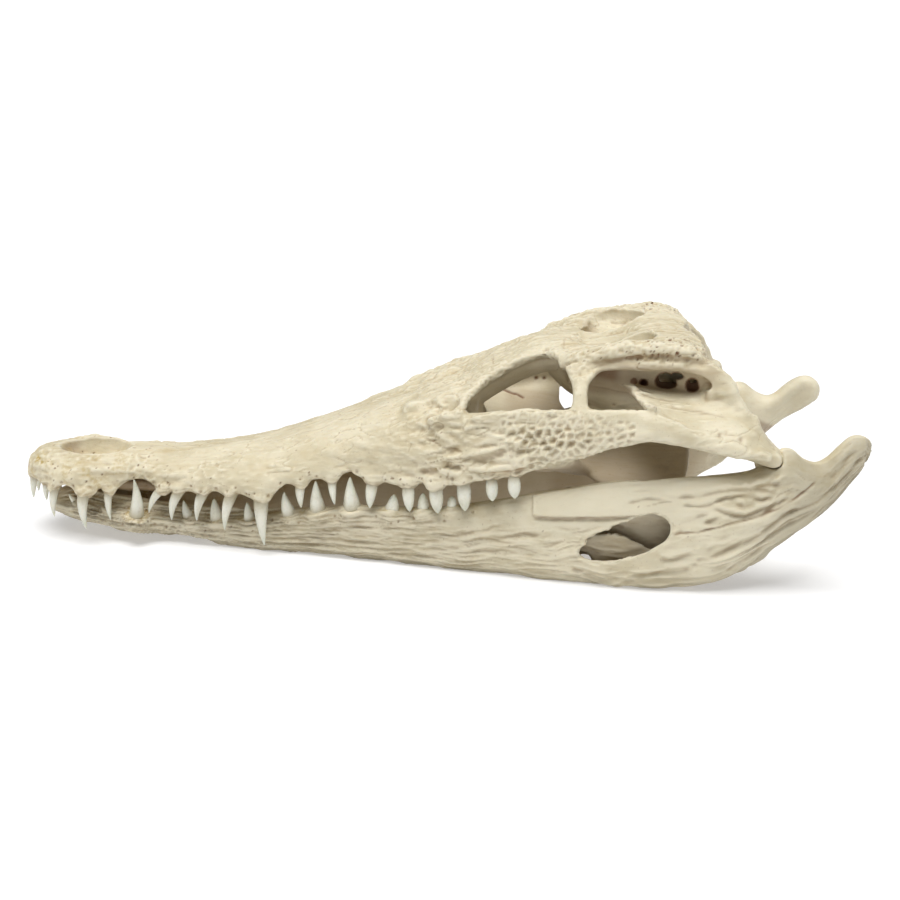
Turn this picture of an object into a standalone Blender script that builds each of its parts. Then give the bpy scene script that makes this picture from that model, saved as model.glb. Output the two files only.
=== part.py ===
"""Skull of a young adult crocodile, jaws closed, lying on its lower jaw.

Every size below is in millimetres, measured from the tip of the snout: x runs back along the skull,
y to the animal's right and z up from the surface that the jaws rest on. The finished solids are in metres,
with the origin under the middle of the skull.

Each bone is made from a few simple bodies: lofts, blades (flat bars with rounded edges) and ellipsoids.
They are fused by a voxel remesh, carved with Booleans, thinned to few faces, and then parted with thin cuts.
"""

import bmesh
import bpy
import math
from mathutils import Matrix, Vector

MM = 0.001
OVERALL_LENGTH = 419.6      # snout tip to the ends of the lower jaw
CUT_WIDTH = 0.3             # saw cut between neighbouring pieces
SIDES = {"left": -1.0, "right": 1.0}
AXES = {"x": Vector((1.0, 0.0, 0.0)), "y": Vector((0.0, 1.0, 0.0)), "z": Vector((0.0, 0.0, 1.0))}

FUSE_VOXEL = 1.5            # grid of the remesh that fuses a bone
CRANIUM_FACES = 2500        # triangles kept on the cranium, before it is parted
JAW_FACES = 780            # triangles kept on each half of the lower jaw
LOFT_STEP = 5.0             # spacing of the rings that a loft is read at

BONE_COLOUR = (0.80, 0.73, 0.58, 1.0)
JAW_COLOUR = (0.78, 0.72, 0.58, 1.0)

# ---- cranium -------------------------------------------------------------------------------------------
# Snout sections: x, half width, tooth margin z, top z, height of the widest line as a share of the height,
# and exponent of the upper outline, where 2 is an ellipse and more is squarer.
SNOUT = [
    (0.5, 4.0, 28.0, 35.0, 0.5, 2.1),
    (3.5, 10.0, 25.5, 38.0, 0.5, 2.1),
    (9.5, 15.5, 24.0, 40.8, 0.45, 2.1),
    (19.0, 20.5, 23.0, 42.2, 0.40, 2.1),
    (33.0, 24.5, 22.0, 43.0, 0.35, 2.1),
    (45.0, 21.5, 23.0, 43.4, 0.35, 2.1),
    (58.0, 18.3, 27.6, 42.6, 0.35, 2.1),
    (78.0, 23.2, 24.0, 42.2, 0.30, 2.1),
    (100.0, 28.0, 25.0, 44.0, 0.28, 2.1),
    (124.0, 32.0, 24.5, 49.0, 0.26, 2.1),
    (148.0, 31.5, 33.5, 57.4, 0.24, 2.1),
    (170.0, 35.5, 38.0, 65.2, 0.22, 2.3),
    (195.0, 41.0, 36.8, 74.2, 0.20, 2.8),
    (215.0, 47.0, 40.5, 80.5, 0.22, 3.5),
    (231.0, 51.0, 45.0, 84.5, 0.25, 3.8),
]
PALATE_SQUARE = 5.0         # exponent of the lower outline
PALATE_ARCH = 3.0           # rise of the palate above the tooth margins

NARIS = {"x": 36.0, "z": 43.5, "half": (17.5, 9.5, 12.0)}
ORBIT_HOLLOW = {"x": 250.0, "y": 34.0, "z": 86.0, "half": (30.0, 20.5, 21.0)}
CHEEK_HOLLOW = {"x": 262.0, "y": 34.0, "z": 64.0, "half": (36.0, 16.0, 22.0)}
PALATE_WINDOW = {"x": 232.0, "y": 27.0, "z": 42.0, "half": (32.0, 10.5, 18.0)}
NOSE_PASSAGE = {"x": 248.0, "y": 0.0, "z": 74.0, "half": (30.0, 9.0, 9.0)}

# Blades: each row is one edge (x, y, z), the other edge (x, y, z) and the thickness between the faces.
# Paired blades are written for the right side, and mirrored for the left.
FOREHEAD = [
    (203.0, -26.0, 73.0, 203.0, 26.0, 73.0, 10.0),
    (219.0, -35.0, 80.5, 219.0, 35.0, 80.5, 9.0),
    (226.0, -35.0, 83.5, 226.0, 35.0, 83.5, 8.0),
    (234.0, -27.5, 88.5, 234.0, 27.5, 88.5, 8.0),
    (241.0, -21.5, 92.8, 241.0, 21.5, 92.8, 7.5),
    (248.0, -18.0, 96.2, 248.0, 18.0, 96.2, 7.0),
    (256.0, -17.0, 99.4, 256.0, 17.0, 99.4, 7.0),
    (262.0, -17.5, 101.2, 262.0, 17.5, 101.2, 7.0),
    (268.0, -24.0, 102.8, 268.0, 24.0, 102.8, 7.0),
    (273.0, -31.0, 103.2, 273.0, 31.0, 103.2, 7.0),
    (282.0, -35.5, 103.2, 282.0, 35.5, 103.2, 7.0),
]
SKULL_TABLE = [
    (269.0, 0.0, 101.8, 269.0, 28.0, 101.8, 7.0),
    (281.0, 0.0, 102.5, 281.0, 34.5, 104.5, 8.0),
    (300.0, 0.0, 105.0, 300.0, 38.0, 109.0, 8.0),
    (318.0, 0.0, 106.5, 318.0, 40.0, 111.5, 8.0),
    (331.0, 0.0, 107.3, 331.0, 41.5, 112.0, 8.0),
    (339.0, 0.0, 107.0, 339.0, 41.5, 109.0, 7.5),
]
TABLE_LIP = [
    (270.0, 31.0, 97.0, 270.0, 28.0, 104.5, 6.0),
    (281.0, 36.5, 98.0, 281.0, 34.0, 108.2, 6.5),
    (300.0, 39.5, 100.0, 300.0, 37.0, 113.0, 6.5),
    (318.0, 41.5, 101.0, 318.0, 39.0, 115.6, 6.5),
    (332.0, 43.5, 100.5, 332.0, 41.0, 115.6, 6.5),
    (342.0, 45.0, 94.0, 342.0, 42.5, 110.0, 6.5),
    (350.0, 47.0, 82.0, 350.5, 43.5, 100.5, 7.0),
    (356.0, 50.0, 74.0, 357.5, 47.0, 89.0, 8.0),
    (361.0, 53.0, 69.0, 362.5, 50.0, 79.5, 8.0),
]
TABLE_WINDOW = {"x": 301.0, "y": 22.5, "z": 107.0, "half": (14.5, 8.5, 14.0)}
TABLE_NOTCH = {"x": 351.0, "y": 0.0, "z": 110.0, "half": (16.0, 24.0, 16.0)}

CHEEK_BAR = [
    (188.0, 29.0, 41.0, 188.0, 27.0, 60.0, 8.0),
    (214.0, 43.5, 41.5, 214.0, 39.0, 74.0, 10.0),
    (232.0, 49.5, 45.0, 232.0, 45.5, 79.5, 9.5),
    (250.0, 54.0, 50.0, 250.0, 50.5, 82.5, 9.0),
    (266.0, 57.8, 57.0, 266.0, 54.5, 85.0, 8.0),
    (281.0, 61.5, 62.5, 281.0, 58.5, 86.5, 7.5),
    (295.0, 64.8, 69.0, 295.0, 62.0, 87.5, 7.0),
    (308.0, 67.3, 73.3, 308.0, 64.0, 88.5, 7.0),
    (322.0, 68.5, 72.5, 322.0, 64.5, 87.0, 7.5),
    (340.0, 67.8, 69.0, 340.0, 63.5, 81.5, 8.5),
    (356.0, 65.5, 65.0, 356.0, 62.0, 76.0, 9.0),
]
EYE_BAR = [
    (273.5, 57.0, 80.0, 283.0, 58.5, 80.0, 6.0),
    (274.5, 54.0, 87.5, 282.0, 54.5, 87.5, 5.5),
    (274.5, 47.0, 94.5, 283.0, 47.0, 94.5, 6.0),
    (271.0, 38.0, 101.0, 290.0, 38.0, 101.0, 7.0),
]
QUADRATE = [
    (308.0, 64.5, 85.0, 299.0, 32.0, 91.0, 5.0),
    (320.0, 67.0, 77.5, 314.0, 22.0, 89.0, 6.5),
    (334.0, 67.3, 73.0, 330.0, 20.0, 90.0, 8.0),
    (349.0, 66.5, 68.5, 345.0, 36.0, 88.0, 10.0),
    (361.0, 65.5, 64.5, 358.0, 42.0, 79.0, 11.0),
    (371.0, 65.0, 63.0, 370.0, 38.0, 66.5, 9.0),
    (374.5, 63.0, 63.0, 374.0, 40.0, 65.5, 7.0),
]
PTERYGOID_WING = [
    (254.0, 0.0, 59.0, 254.0, 10.0, 57.5, 6.0),
    (268.0, 0.0, 61.0, 271.0, 25.0, 53.5, 6.0),
    (281.0, 0.0, 62.5, 283.0, 36.0, 47.0, 6.0),
    (299.0, 0.0, 64.0, 298.0, 42.0, 39.0, 6.0),
    (318.0, 0.0, 65.0, 318.0, 43.0, 36.0, 6.5),
    (333.0, 0.0, 65.0, 334.0, 37.0, 41.0, 6.0),
    (342.0, 0.0, 66.0, 339.0, 20.0, 53.0, 6.0),
]
ECTOPTERYGOID = [
    (243.0, 50.0, 53.0, 277.0, 56.0, 61.0, 7.0),
    (260.0, 43.0, 51.0, 282.0, 48.0, 58.0, 6.5),
    (277.0, 33.0, 49.0, 297.0, 38.5, 48.0, 6.0),
]
PREFRONTAL_PILLAR = [
    (222.0, 12.0, 84.0, 236.0, 12.0, 86.0, 6.0),
    (227.0, 11.5, 72.0, 234.0, 11.5, 72.0, 5.0),
    (224.0, 9.0, 56.0, 240.0, 9.0, 56.0, 6.0),
]
OCCIPUT = [
    (344.0, -48.0, 84.0, 342.0, -45.0, 104.0, 7.0),
    (344.0, -24.0, 80.0, 339.0, -24.0, 106.0, 8.0),
    (345.0, 0.0, 76.0, 337.0, 0.0, 107.0, 9.0),
    (344.0, 24.0, 80.0, 339.0, 24.0, 106.0, 8.0),
    (344.0, 48.0, 84.0, 342.0, 45.0, 104.0, 7.0),
]
PAIRED_BLADES = (
    SKULL_TABLE,
    TABLE_LIP,
    CHEEK_BAR,
    EYE_BAR,
    QUADRATE,
    PTERYGOID_WING,
    ECTOPTERYGOID,
    PREFRONTAL_PILLAR,
)
# Bodies on the midline, with the same columns as the snout.
BRAINCASE = [
    (264.0, 4.5, 90.0, 100.0, 0.5, 2.2),
    (276.0, 9.0, 78.0, 103.0, 0.5, 2.2),
    (292.0, 13.0, 70.0, 106.0, 0.5, 2.2),
    (312.0, 15.0, 63.0, 107.0, 0.5, 2.2),
    (332.0, 19.0, 59.0, 107.0, 0.5, 2.2),
    (343.0, 19.0, 58.0, 104.0, 0.5, 2.2),
    (348.0, 13.0, 62.0, 96.0, 0.5, 2.2),
]
PALATINE_TUBE = [
    (198.0, 13.0, 41.0, 55.0, 0.5, 2.2),
    (232.0, 11.0, 46.5, 60.0, 0.5, 2.2),
    (258.0, 9.0, 54.0, 64.0, 0.5, 2.2),
    (284.0, 8.5, 57.0, 69.0, 0.5, 2.2),
    (306.0, 9.0, 59.0, 74.0, 0.5, 2.2),
]
CONDYLE = {"x": 351.0, "y": 0.0, "z": 77.5, "half": (6.5, 7.0, 6.0)}
FORAMEN_MAGNUM = {"x": 350.0, "y": 0.0, "z": 90.0, "half": (12.0, 6.5, 5.5)}
EAR_HOLLOW = {"x": 324.0, "y": 38.0, "z": 95.0, "half": (18.0, 12.0, 5.5)}

# Saw cuts through the cranium.
TIP_CUT_X = 60.5
FACE_CUT = ((214.0, 0.0, 85.0), (268.0, 0.0, 45.0))       # two points on the slope in front of the eyes
CHEEK_CUT = ((0.0, 34.0, 96.0), (0.0, 46.0, 50.0))        # two points on the slope inside the right cheek
CHEEK_CUT_X = 298.0
TABLE_CUT_X = 267.0
TABLE_CUT_Z = 96.0
PALATE_CUT_X = 349.0
PALATE_CUT_Z = 70.0
QUADRATE_CUT_Y = 28.0
QUADRATE_CUT_Z = 55.0

# ---- lower jaw -----------------------------------------------------------------------------------------
# Sections of one half: x, distance of the outer face from the midline, low z, top z, thickness.
REST_LEVEL = -4.6           # the jaws are flattened at this level, where they lie on a surface
JAW = [
    (13.0, 6.0, 7.5, 13.0, 7.0),
    (17.0, 9.5, 5.0, 14.5, 10.5),
    (26.0, 13.5, 3.0, 15.0, 14.5),
    (40.0, 16.5, 1.4, 13.5, 17.5),
    (57.0, 21.5, 0.6, 12.0, 22.5),
    (73.0, 18.5, -1.2, 10.3, 15.0),
    (95.0, 21.0, -2.8, 9.2, 13.5),
    (118.0, 25.0, -4.6, 11.8, 13.5),
    (143.0, 29.5, -4.8, 18.5, 13.5),
    (174.0, 36.0, -4.9, 23.2, 14.0),
    (209.0, 44.0, -5.0, 26.0, 14.5),
    (243.0, 51.5, -5.3, 34.5, 15.0),
    (273.0, 59.0, -5.8, 43.5, 16.0),
    (298.0, 64.5, -6.0, 50.0, 17.0),
    (328.0, 68.0, -4.6, 54.0, 17.5),
    (347.0, 68.5, -0.8, 57.0, 18.0),
    (362.0, 67.5, 6.6, 59.5, 19.0),
    (370.0, 67.0, 12.4, 60.8, 20.0),
    (380.0, 66.0, 20.6, 68.5, 20.0),
    (393.0, 63.5, 31.0, 62.5, 17.0),
    (404.0, 60.5, 43.0, 70.0, 13.5),
    (413.0, 57.5, 53.5, 75.0, 12.0),
    (419.0, 55.5, 60.0, 73.5, 10.0),
]
GLENOID_SHELF = [
    (367.0, 40.0, 54.0, 376.0, 40.0, 59.0, 9.0),
    (367.0, 58.0, 53.0, 378.0, 58.0, 60.0, 10.0),
]
SEAT_PLAY = 0.9             # room left round the joint surface
JAW_WINDOW = {"x": 301.5, "z": 21.0, "half": (24.0, 9.4), "turn": 24.0}
INNER_WINDOW = {"x": 306.0, "y": 50.0, "z": 17.0, "half": (32.0, 11.0, 11.5)}
JAW_TROUGH = {"x": 322.0, "y": 55.0, "z": 50.0, "half": (30.0, 4.5, 20.0)}
JAW_CUT = ((276.0, 0.0, 46.0), (312.0, 0.0, 0.0))         # two points on the slope through the window

# ---- teeth ---------------------------------------------------------------------------------------------
# Foot x, y, z, tip x, y, z and diameter at the gum. Written for the right side.
UPPER_TEETH = [
    (5.5, 5.5, 27.0, 3.9, 5.0, 13.8, 4.6),
    (12.5, 11.8, 25.5, 12.2, 13.0, 15.5, 4.6),
    (18.0, 17.0, 24.5, 17.2, 19.0, 8.8, 5.4),
    (33.5, 22.0, 23.5, 34.7, 25.5, 5.5, 7.0),
    (45.5, 19.0, 25.0, 46.4, 21.5, 8.9, 5.2),
    (73.5, 19.5, 26.5, 65.5, 20.0, 12.6, 5.0),
    (82.0, 21.5, 26.0, 77.6, 22.5, 10.0, 5.8),
    (94.5, 24.0, 26.5, 90.8, 25.5, 11.3, 5.8),
    (109.0, 27.0, 27.0, 105.4, 29.0, 7.9, 6.4),
    (124.0, 29.0, 26.5, 125.8, 33.0, 1.9, 8.8),
    (143.5, 28.5, 34.0, 144.2, 31.5, 22.1, 6.0),
    (159.5, 30.0, 37.5, 161.1, 33.5, 25.0, 5.4),
    (180.0, 34.0, 39.0, 178.7, 37.0, 25.0, 7.0),
    (197.5, 38.0, 39.5, 198.7, 41.5, 25.4, 7.4),
    (211.0, 42.5, 41.5, 212.6, 45.5, 26.3, 8.2),
    (224.5, 46.5, 45.5, 225.8, 49.5, 29.6, 7.8),
    (238.0, 50.0, 48.5, 238.8, 52.0, 36.0, 6.4),
    (248.5, 53.0, 51.5, 249.4, 54.5, 38.6, 6.6),
]
LOWER_TEETH = [
    (15.5, 4.5, 13.0, 12.5, 5.0, 20.5, 4.4),
    (27.5, 11.0, 13.5, 23.4, 12.5, 19.4, 4.0),
    (43.8, 14.0, 11.5, 43.4, 15.0, 18.0, 4.4),
    (58.8, 19.5, 10.0, 59.4, 23.5, 32.1, 7.6),
    (85.5, 14.5, 7.5, 82.5, 15.5, 18.5, 4.8),
    (100.0, 16.5, 7.5, 98.6, 18.5, 21.0, 6.6),
    (117.0, 20.0, 9.5, 115.8, 22.0, 20.7, 5.2),
    (138.0, 24.0, 15.0, 135.2, 27.0, 28.8, 6.2),
    (152.5, 26.8, 18.0, 151.3, 30.0, 36.4, 7.4),
    (170.0, 30.0, 21.0, 168.6, 33.0, 39.8, 8.4),
    (189.0, 34.5, 22.0, 190.7, 36.0, 32.4, 6.4),
    (205.5, 38.0, 24.0, 204.9, 39.5, 34.7, 6.0),
    (219.5, 41.5, 27.5, 219.3, 43.0, 34.8, 5.4),
]
TALL_TOOTH = 35.0           # lower teeth whose tips are above this height have pits in the upper jaw
TOOTH_ROOT = 3.5            # how far a tooth reaches into its socket
TOOTH_RINGS = ((0.15, 1.0), (0.68, 0.60))   # share of the crown's length, and of its width
TOOTH_PLAY = 0.8            # room left round a lower tooth where it runs up into the upper jaw
TOOTH_SIDES = 5


# ---- shapes --------------------------------------------------------------------------------------------
def smooth_rows(rows, step):
    """Rows read off a smooth curve through the given rows, about one for each step of length."""
    points = [Vector(row) for row in rows]
    along = [0.0]
    for a, b in zip(points, points[1:]):
        along.append(along[-1] + (b - a).length)
    last = len(points) - 1
    slopes = []
    for i in range(last + 1):
        before, after = max(i - 1, 0), min(i + 1, last)
        slopes.append((points[after] - points[before]) / (along[after] - along[before]))
    read = []
    for i in range(last):
        span = along[i + 1] - along[i]
        count = max(1, round(span / step))
        for k in range(count):
            t = k / count
            read.append(
                points[i] * (2 * t**3 - 3 * t**2 + 1)
                + points[i + 1] * (3 * t**2 - 2 * t**3)
                + slopes[i] * span * (t**3 - 2 * t**2 + t)
                + slopes[i + 1] * span * (t**3 - t**2)
            )
    read.append(points[-1])
    return read


def power(value, exponent):
    """A power that keeps the sign, for superellipses."""
    return math.copysign(abs(value) ** exponent, value)


def loft(rings):
    """A closed mesh through rings of equal count."""
    mesh = bmesh.new()
    loops = [[mesh.verts.new(point) for point in ring] for ring in rings]
    count = len(loops[0])
    for a, b in zip(loops, loops[1:]):
        for i in range(count):
            j = (i + 1) % count
            mesh.faces.new((a[i], a[j], b[j], b[i]))
    mesh.faces.new(loops[0])
    mesh.faces.new(loops[-1])
    bmesh.ops.recalc_face_normals(mesh, faces=mesh.faces)
    return mesh


def midline_body(rows, lower=2.2, arch=0.0, count=28):
    """A body across the midline, from rows of x, half width, low z, top z, widest line and upper exponent."""
    rings = []
    for x, half, low, top, belt, upper in smooth_rows(rows, LOFT_STEP):
        middle = low + (top - low) * belt
        ring = []
        for i in range(count):
            turn = 2 * math.pi * i / count
            y = half * power(math.cos(turn), 2 / upper)
            rise = math.sin(turn)
            if rise >= 0:
                z = middle + (top - middle) * power(rise, 2 / upper)
            else:
                y = half * power(math.cos(turn), 2 / lower)
                z = middle + (middle - low) * power(rise, 2 / lower)
                z += arch * (1 - (y / half) ** 2)
            ring.append(Vector((x, y, z)))
        rings.append(ring)
    return loft(rings)


def blade(rows, side=1.0, sharp=2.8, count=14):
    """A flat bar with rounded edges, from rows of one edge, the other edge and the thickness."""
    read = smooth_rows(rows, LOFT_STEP)
    middles = [Vector((r[0] + r[3], r[1] + r[4], r[2] + r[5])) / 2 for r in read]
    rings = []
    for i, row in enumerate(read):
        across = Vector((row[3] - row[0], row[4] - row[1], row[5] - row[2])) / 2
        onward = middles[min(i + 1, len(read) - 1)] - middles[max(i - 1, 0)]
        through = across.cross(onward).normalized() * row[6] / 2
        ring = []
        for k in range(count):
            turn = 2 * math.pi * k / count
            point = middles[i] + across * power(math.cos(turn), 2 / sharp)
            point += through * power(math.sin(turn), 2 / sharp)
            ring.append(Vector((point.x, point.y * side, point.z)))
        rings.append(ring)
    return loft(rings)


def ellipsoid(sizes, side=1.0, segments=20):
    """An ellipsoid from its centre and half sizes."""
    mesh = bmesh.new()
    bmesh.ops.create_uvsphere(mesh, u_segments=segments, v_segments=segments // 2, radius=1.0)
    bmesh.ops.scale(mesh, vec=sizes["half"], verts=mesh.verts)
    centre = (sizes["x"], sizes.get("y", 0.0) * side, sizes["z"])
    bmesh.ops.translate(mesh, vec=centre, verts=mesh.verts)
    return mesh


def tooth(row, side, play=0.0):
    """A pointed tooth from its foot to its tip, with a short root in the bone and some play round it."""
    foot = Vector((row[0], row[1] * side, row[2]))
    tip = Vector((row[3], row[4] * side, row[5]))
    tip += (tip - foot).normalized() * play
    crown = tip - foot
    turn = crown.to_track_quat("Z", "X").to_matrix()
    rings = [(-TOOTH_ROOT / crown.length, 0.7), *TOOTH_RINGS]
    mesh = bmesh.new()
    loops = []
    for share, width in rings:
        radius = row[6] / 2 * width + play
        loop = []
        for i in range(TOOTH_SIDES):
            angle = 2 * math.pi * i / TOOTH_SIDES
            spoke = Vector((math.cos(angle), math.sin(angle), 0.0)) * radius
            loop.append(mesh.verts.new(foot + crown * share + turn @ spoke))
        loops.append(loop)
    for a, b in zip(loops, loops[1:]):
        for i in range(TOOTH_SIDES):
            j = (i + 1) % TOOTH_SIDES
            mesh.faces.new((a[i], a[j], b[j], b[i]))
    point = mesh.verts.new(tip)
    for i in range(TOOTH_SIDES):
        mesh.faces.new((loops[-1][i], loops[-1][(i + 1) % TOOTH_SIDES], point))
    mesh.faces.new(loops[0])
    bmesh.ops.recalc_face_normals(mesh, faces=mesh.faces)
    return mesh


# ---- working with objects ------------------------------------------------------------------------------
def to_object(name, *meshes):
    """One object that holds all these meshes."""
    joined = bmesh.new()
    for mesh in meshes:
        data = bpy.data.meshes.new("scratch")
        mesh.to_mesh(data)
        mesh.free()
        joined.from_mesh(data)
        bpy.data.meshes.remove(data)
    data = bpy.data.meshes.new(name)
    joined.to_mesh(data)
    joined.free()
    made = bpy.data.objects.new(name, data)
    bpy.context.scene.collection.objects.link(made)
    return made


def apply_modifiers(made):
    """Bakes an object's modifiers into its mesh."""
    bpy.context.view_layer.update()
    graph = bpy.context.evaluated_depsgraph_get()
    baked = bpy.data.meshes.new_from_object(made.evaluated_get(graph), depsgraph=graph)
    made.modifiers.clear()
    made.data = baked
    return made


def combine(made, operation, *meshes):
    """Cuts these closed meshes from the object, or joins them to it, one at a time."""
    for mesh in meshes:
        other = to_object("tool", mesh)
        change = made.modifiers.new("change", "BOOLEAN")
        change.operation = operation
        change.object = other
        apply_modifiers(made)
        bpy.data.objects.remove(other)
    return made


def fuse(made, voxel=FUSE_VOXEL, smoothing=3):
    """Melts overlapping bodies into one skin."""
    remesh = made.modifiers.new("fuse", "REMESH")
    remesh.mode = "VOXEL"
    remesh.voxel_size = voxel
    soften = made.modifiers.new("soften", "SMOOTH")
    soften.factor = 0.5
    soften.iterations = smoothing
    return apply_modifiers(made)


def thin_out(made, faces):
    """Keeps about this many triangles."""
    triangles = sum(len(polygon.vertices) - 2 for polygon in made.data.polygons)
    decimate = made.modifiers.new("thin out", "DECIMATE")
    decimate.ratio = faces / triangles
    return apply_modifiers(made)


def keep_side(mesh, point, normal):
    """Cuts a closed mesh with a plane and keeps the side that the normal points away from."""
    whole = mesh.verts[:] + mesh.edges[:] + mesh.faces[:]
    done = bmesh.ops.bisect_plane(
        mesh, geom=whole, dist=1e-6, plane_co=point, plane_no=normal, clear_outer=True
    )
    rim = [item for item in done["geom_cut"] if isinstance(item, bmesh.types.BMEdge)]
    if rim:
        bmesh.ops.triangle_fill(mesh, edges=rim, use_beauty=True, normal=normal)


def part_off(whole, name, cuts):
    """A copy of the whole bone, cut back to one piece by planes of (point, normal)."""
    mesh = bmesh.new()
    mesh.from_mesh(whole.data)
    for point, normal in cuts:
        keep_side(mesh, Vector(point), Vector(normal))
    bmesh.ops.recalc_face_normals(mesh, faces=mesh.faces)
    return to_object(name, mesh)


def finish(made, material):
    """Puts a finished solid in its place, in metres, with its material."""
    gap = CUT_WIDTH / 2
    to_metres = Matrix.Scale(MM, 4) @ Matrix.Translation((-OVERALL_LENGTH / 2, 0.0, -REST_LEVEL - gap))
    made.data.transform(to_metres)
    made.data.materials.clear()
    made.data.materials.append(material)


def bone_material(name, colour):
    material = bpy.data.materials.new(name)
    material.use_nodes = True
    shader = material.node_tree.nodes["Principled BSDF"]
    shader.inputs["Base Color"].default_value = colour
    shader.inputs["Roughness"].default_value = 0.55
    shader.inputs["Metallic"].default_value = 0.0
    return material


# ---- the bones -----------------------------------------------------------------------------------------
def both(rows, shape=blade):
    return [shape(rows, side) for side in SIDES.values()]


def hollow_snout():
    """The snout and face, with the fronts of the eye sockets and of the palate windows carved out."""
    snout = to_object("snout", midline_body(SNOUT, PALATE_SQUARE, PALATE_ARCH))
    hollows = [ellipsoid(NOSE_PASSAGE)]
    for sizes in (ORBIT_HOLLOW, CHEEK_HOLLOW, PALATE_WINDOW):
        hollows += both(sizes, ellipsoid)
    return combine(snout, "DIFFERENCE", *hollows)


def whole_cranium():
    """The upper skull in one piece, without its teeth."""
    snout = hollow_snout()
    shell = bmesh.new()
    shell.from_mesh(snout.data)
    bpy.data.objects.remove(snout)
    bodies = [shell, blade(FOREHEAD), blade(OCCIPUT)]
    for rows in PAIRED_BLADES:
        bodies += both(rows)
    bodies += [midline_body(BRAINCASE), midline_body(PALATINE_TUBE), ellipsoid(CONDYLE)]
    cranium = fuse(to_object("cranium", *bodies))
    openings = [ellipsoid(NARIS), ellipsoid(TABLE_NOTCH), ellipsoid(FORAMEN_MAGNUM)]
    openings += both(TABLE_WINDOW, ellipsoid) + both(EAR_HOLLOW, ellipsoid)
    combine(cranium, "DIFFERENCE", *openings)
    return thin_out(cranium, CRANIUM_FACES)


def swollen(rows, extra):
    """Blade rows that stand out by this much all round."""
    grown = []
    for row in rows:
        near, far = Vector(row[0:3]), Vector(row[3:6])
        reach = (far - near).normalized() * extra
        grown.append((*(near - reach), *(far + reach), row[6] + 2 * extra))
    end = grown[-1]
    grown.append((end[0] + extra, end[1], end[2], end[3] + extra, end[4], end[5], end[6]))
    return grown


def jaw_rows():
    """The lower jaw's sections as blade rows: foot edge, top edge and thickness."""
    rows = []
    for x, outer, low, top, thick in JAW:
        middle = outer - thick / 2
        rows.append((x, middle, low, x, middle, top, thick))
    return rows


def jaw_window(side):
    """The cutter of the oval window in the outer wall, its front end lower than its back."""
    mesh = bmesh.new()
    bmesh.ops.create_cone(mesh, cap_ends=True, segments=20, radius1=1.0, radius2=1.0, depth=24.0)
    bmesh.ops.scale(mesh, vec=(*JAW_WINDOW["half"], 1.0), verts=mesh.verts)
    turn = Matrix.Rotation(math.radians(JAW_WINDOW["turn"]), 3, "Z")
    upright = Matrix.Rotation(math.radians(90.0), 3, "X")
    bmesh.ops.rotate(mesh, matrix=upright @ turn, verts=mesh.verts)
    centre = (JAW_WINDOW["x"], 66.0 * side, JAW_WINDOW["z"])
    bmesh.ops.translate(mesh, vec=centre, verts=mesh.verts)
    return mesh


def whole_jaw(side):
    """One half of the lower jaw, without its teeth, with its foot flattened."""
    jaw = fuse(to_object("jaw", blade(jaw_rows(), side, sharp=2.5), blade(GLENOID_SHELF, side)))
    windows = [jaw_window(side), ellipsoid(INNER_WINDOW, side), ellipsoid(JAW_TROUGH, side)]
    combine(jaw, "DIFFERENCE", *windows, blade(swollen(QUADRATE, SEAT_PLAY), side))
    return thin_out(jaw, JAW_FACES)


def add_teeth(made, rows, side):
    return combine(made, "UNION", *[tooth(row, side) for row in rows])


# ---- saw cuts ------------------------------------------------------------------------------------------
def plane(point, normal):
    """A cut that keeps what lies behind it, half a saw cut away."""
    normal = Vector(normal).normalized()
    return Vector(point) - normal * CUT_WIDTH / 2, normal


def below(axis, value):
    return plane(AXES[axis] * value, AXES[axis])


def above(axis, value):
    return plane(AXES[axis] * value, -AXES[axis])


def sloping(points, along, keep):
    """A cut through two points and along an axis. It keeps the side that the keep direction points to."""
    normal = (Vector(points[1]) - Vector(points[0])).cross(Vector(along))
    if normal.dot(Vector(keep)) > 0:
        normal.negate()
    return plane(points[0], normal)


def cheek_slope(side, keep):
    """The sloping cut inside one cheek, which keeps its outer or its inner side."""
    points = [(x, y * side, z) for x, y, z in CHEEK_CUT]
    return sloping(points, AXES["x"], AXES["y"] * side * keep)


def cranium_pieces(cranium):
    """The cranium parted into its named pieces."""
    before_face = sloping(FACE_CUT, AXES["y"], -AXES["x"])
    behind_face = sloping(FACE_CUT, AXES["y"], AXES["x"])
    inside = [cheek_slope(side, -1.0) for side in SIDES.values()]
    core = [below("y", QUADRATE_CUT_Y), above("y", -QUADRATE_CUT_Y)]
    cuts = {
        "snout_tip": [below("x", TIP_CUT_X)],
        "snout": [above("x", TIP_CUT_X), before_face],
        "forehead": [behind_face, below("x", TABLE_CUT_X), above("z", PALATE_CUT_Z), *inside],
        "skull_table": [above("x", TABLE_CUT_X), above("z", TABLE_CUT_Z)],
        "braincase": [above("x", TABLE_CUT_X), below("z", TABLE_CUT_Z), above("z", PALATE_CUT_Z), *core],
        "palate": [behind_face, below("x", PALATE_CUT_X), below("z", PALATE_CUT_Z), *inside],
    }
    for name, side in SIDES.items():
        cuts["cheek_" + name] = [
            behind_face,
            below("x", CHEEK_CUT_X),
            below("z", TABLE_CUT_Z),
            cheek_slope(side, 1.0),
        ]
        cuts["quadrate_" + name] = [
            above("x", CHEEK_CUT_X),
            below("z", TABLE_CUT_Z),
            above("z", QUADRATE_CUT_Z),
            plane(AXES["y"] * side * QUADRATE_CUT_Y, -AXES["y"] * side),
        ]
    return {name: part_off(cranium, name, planes) for name, planes in cuts.items()}


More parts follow.
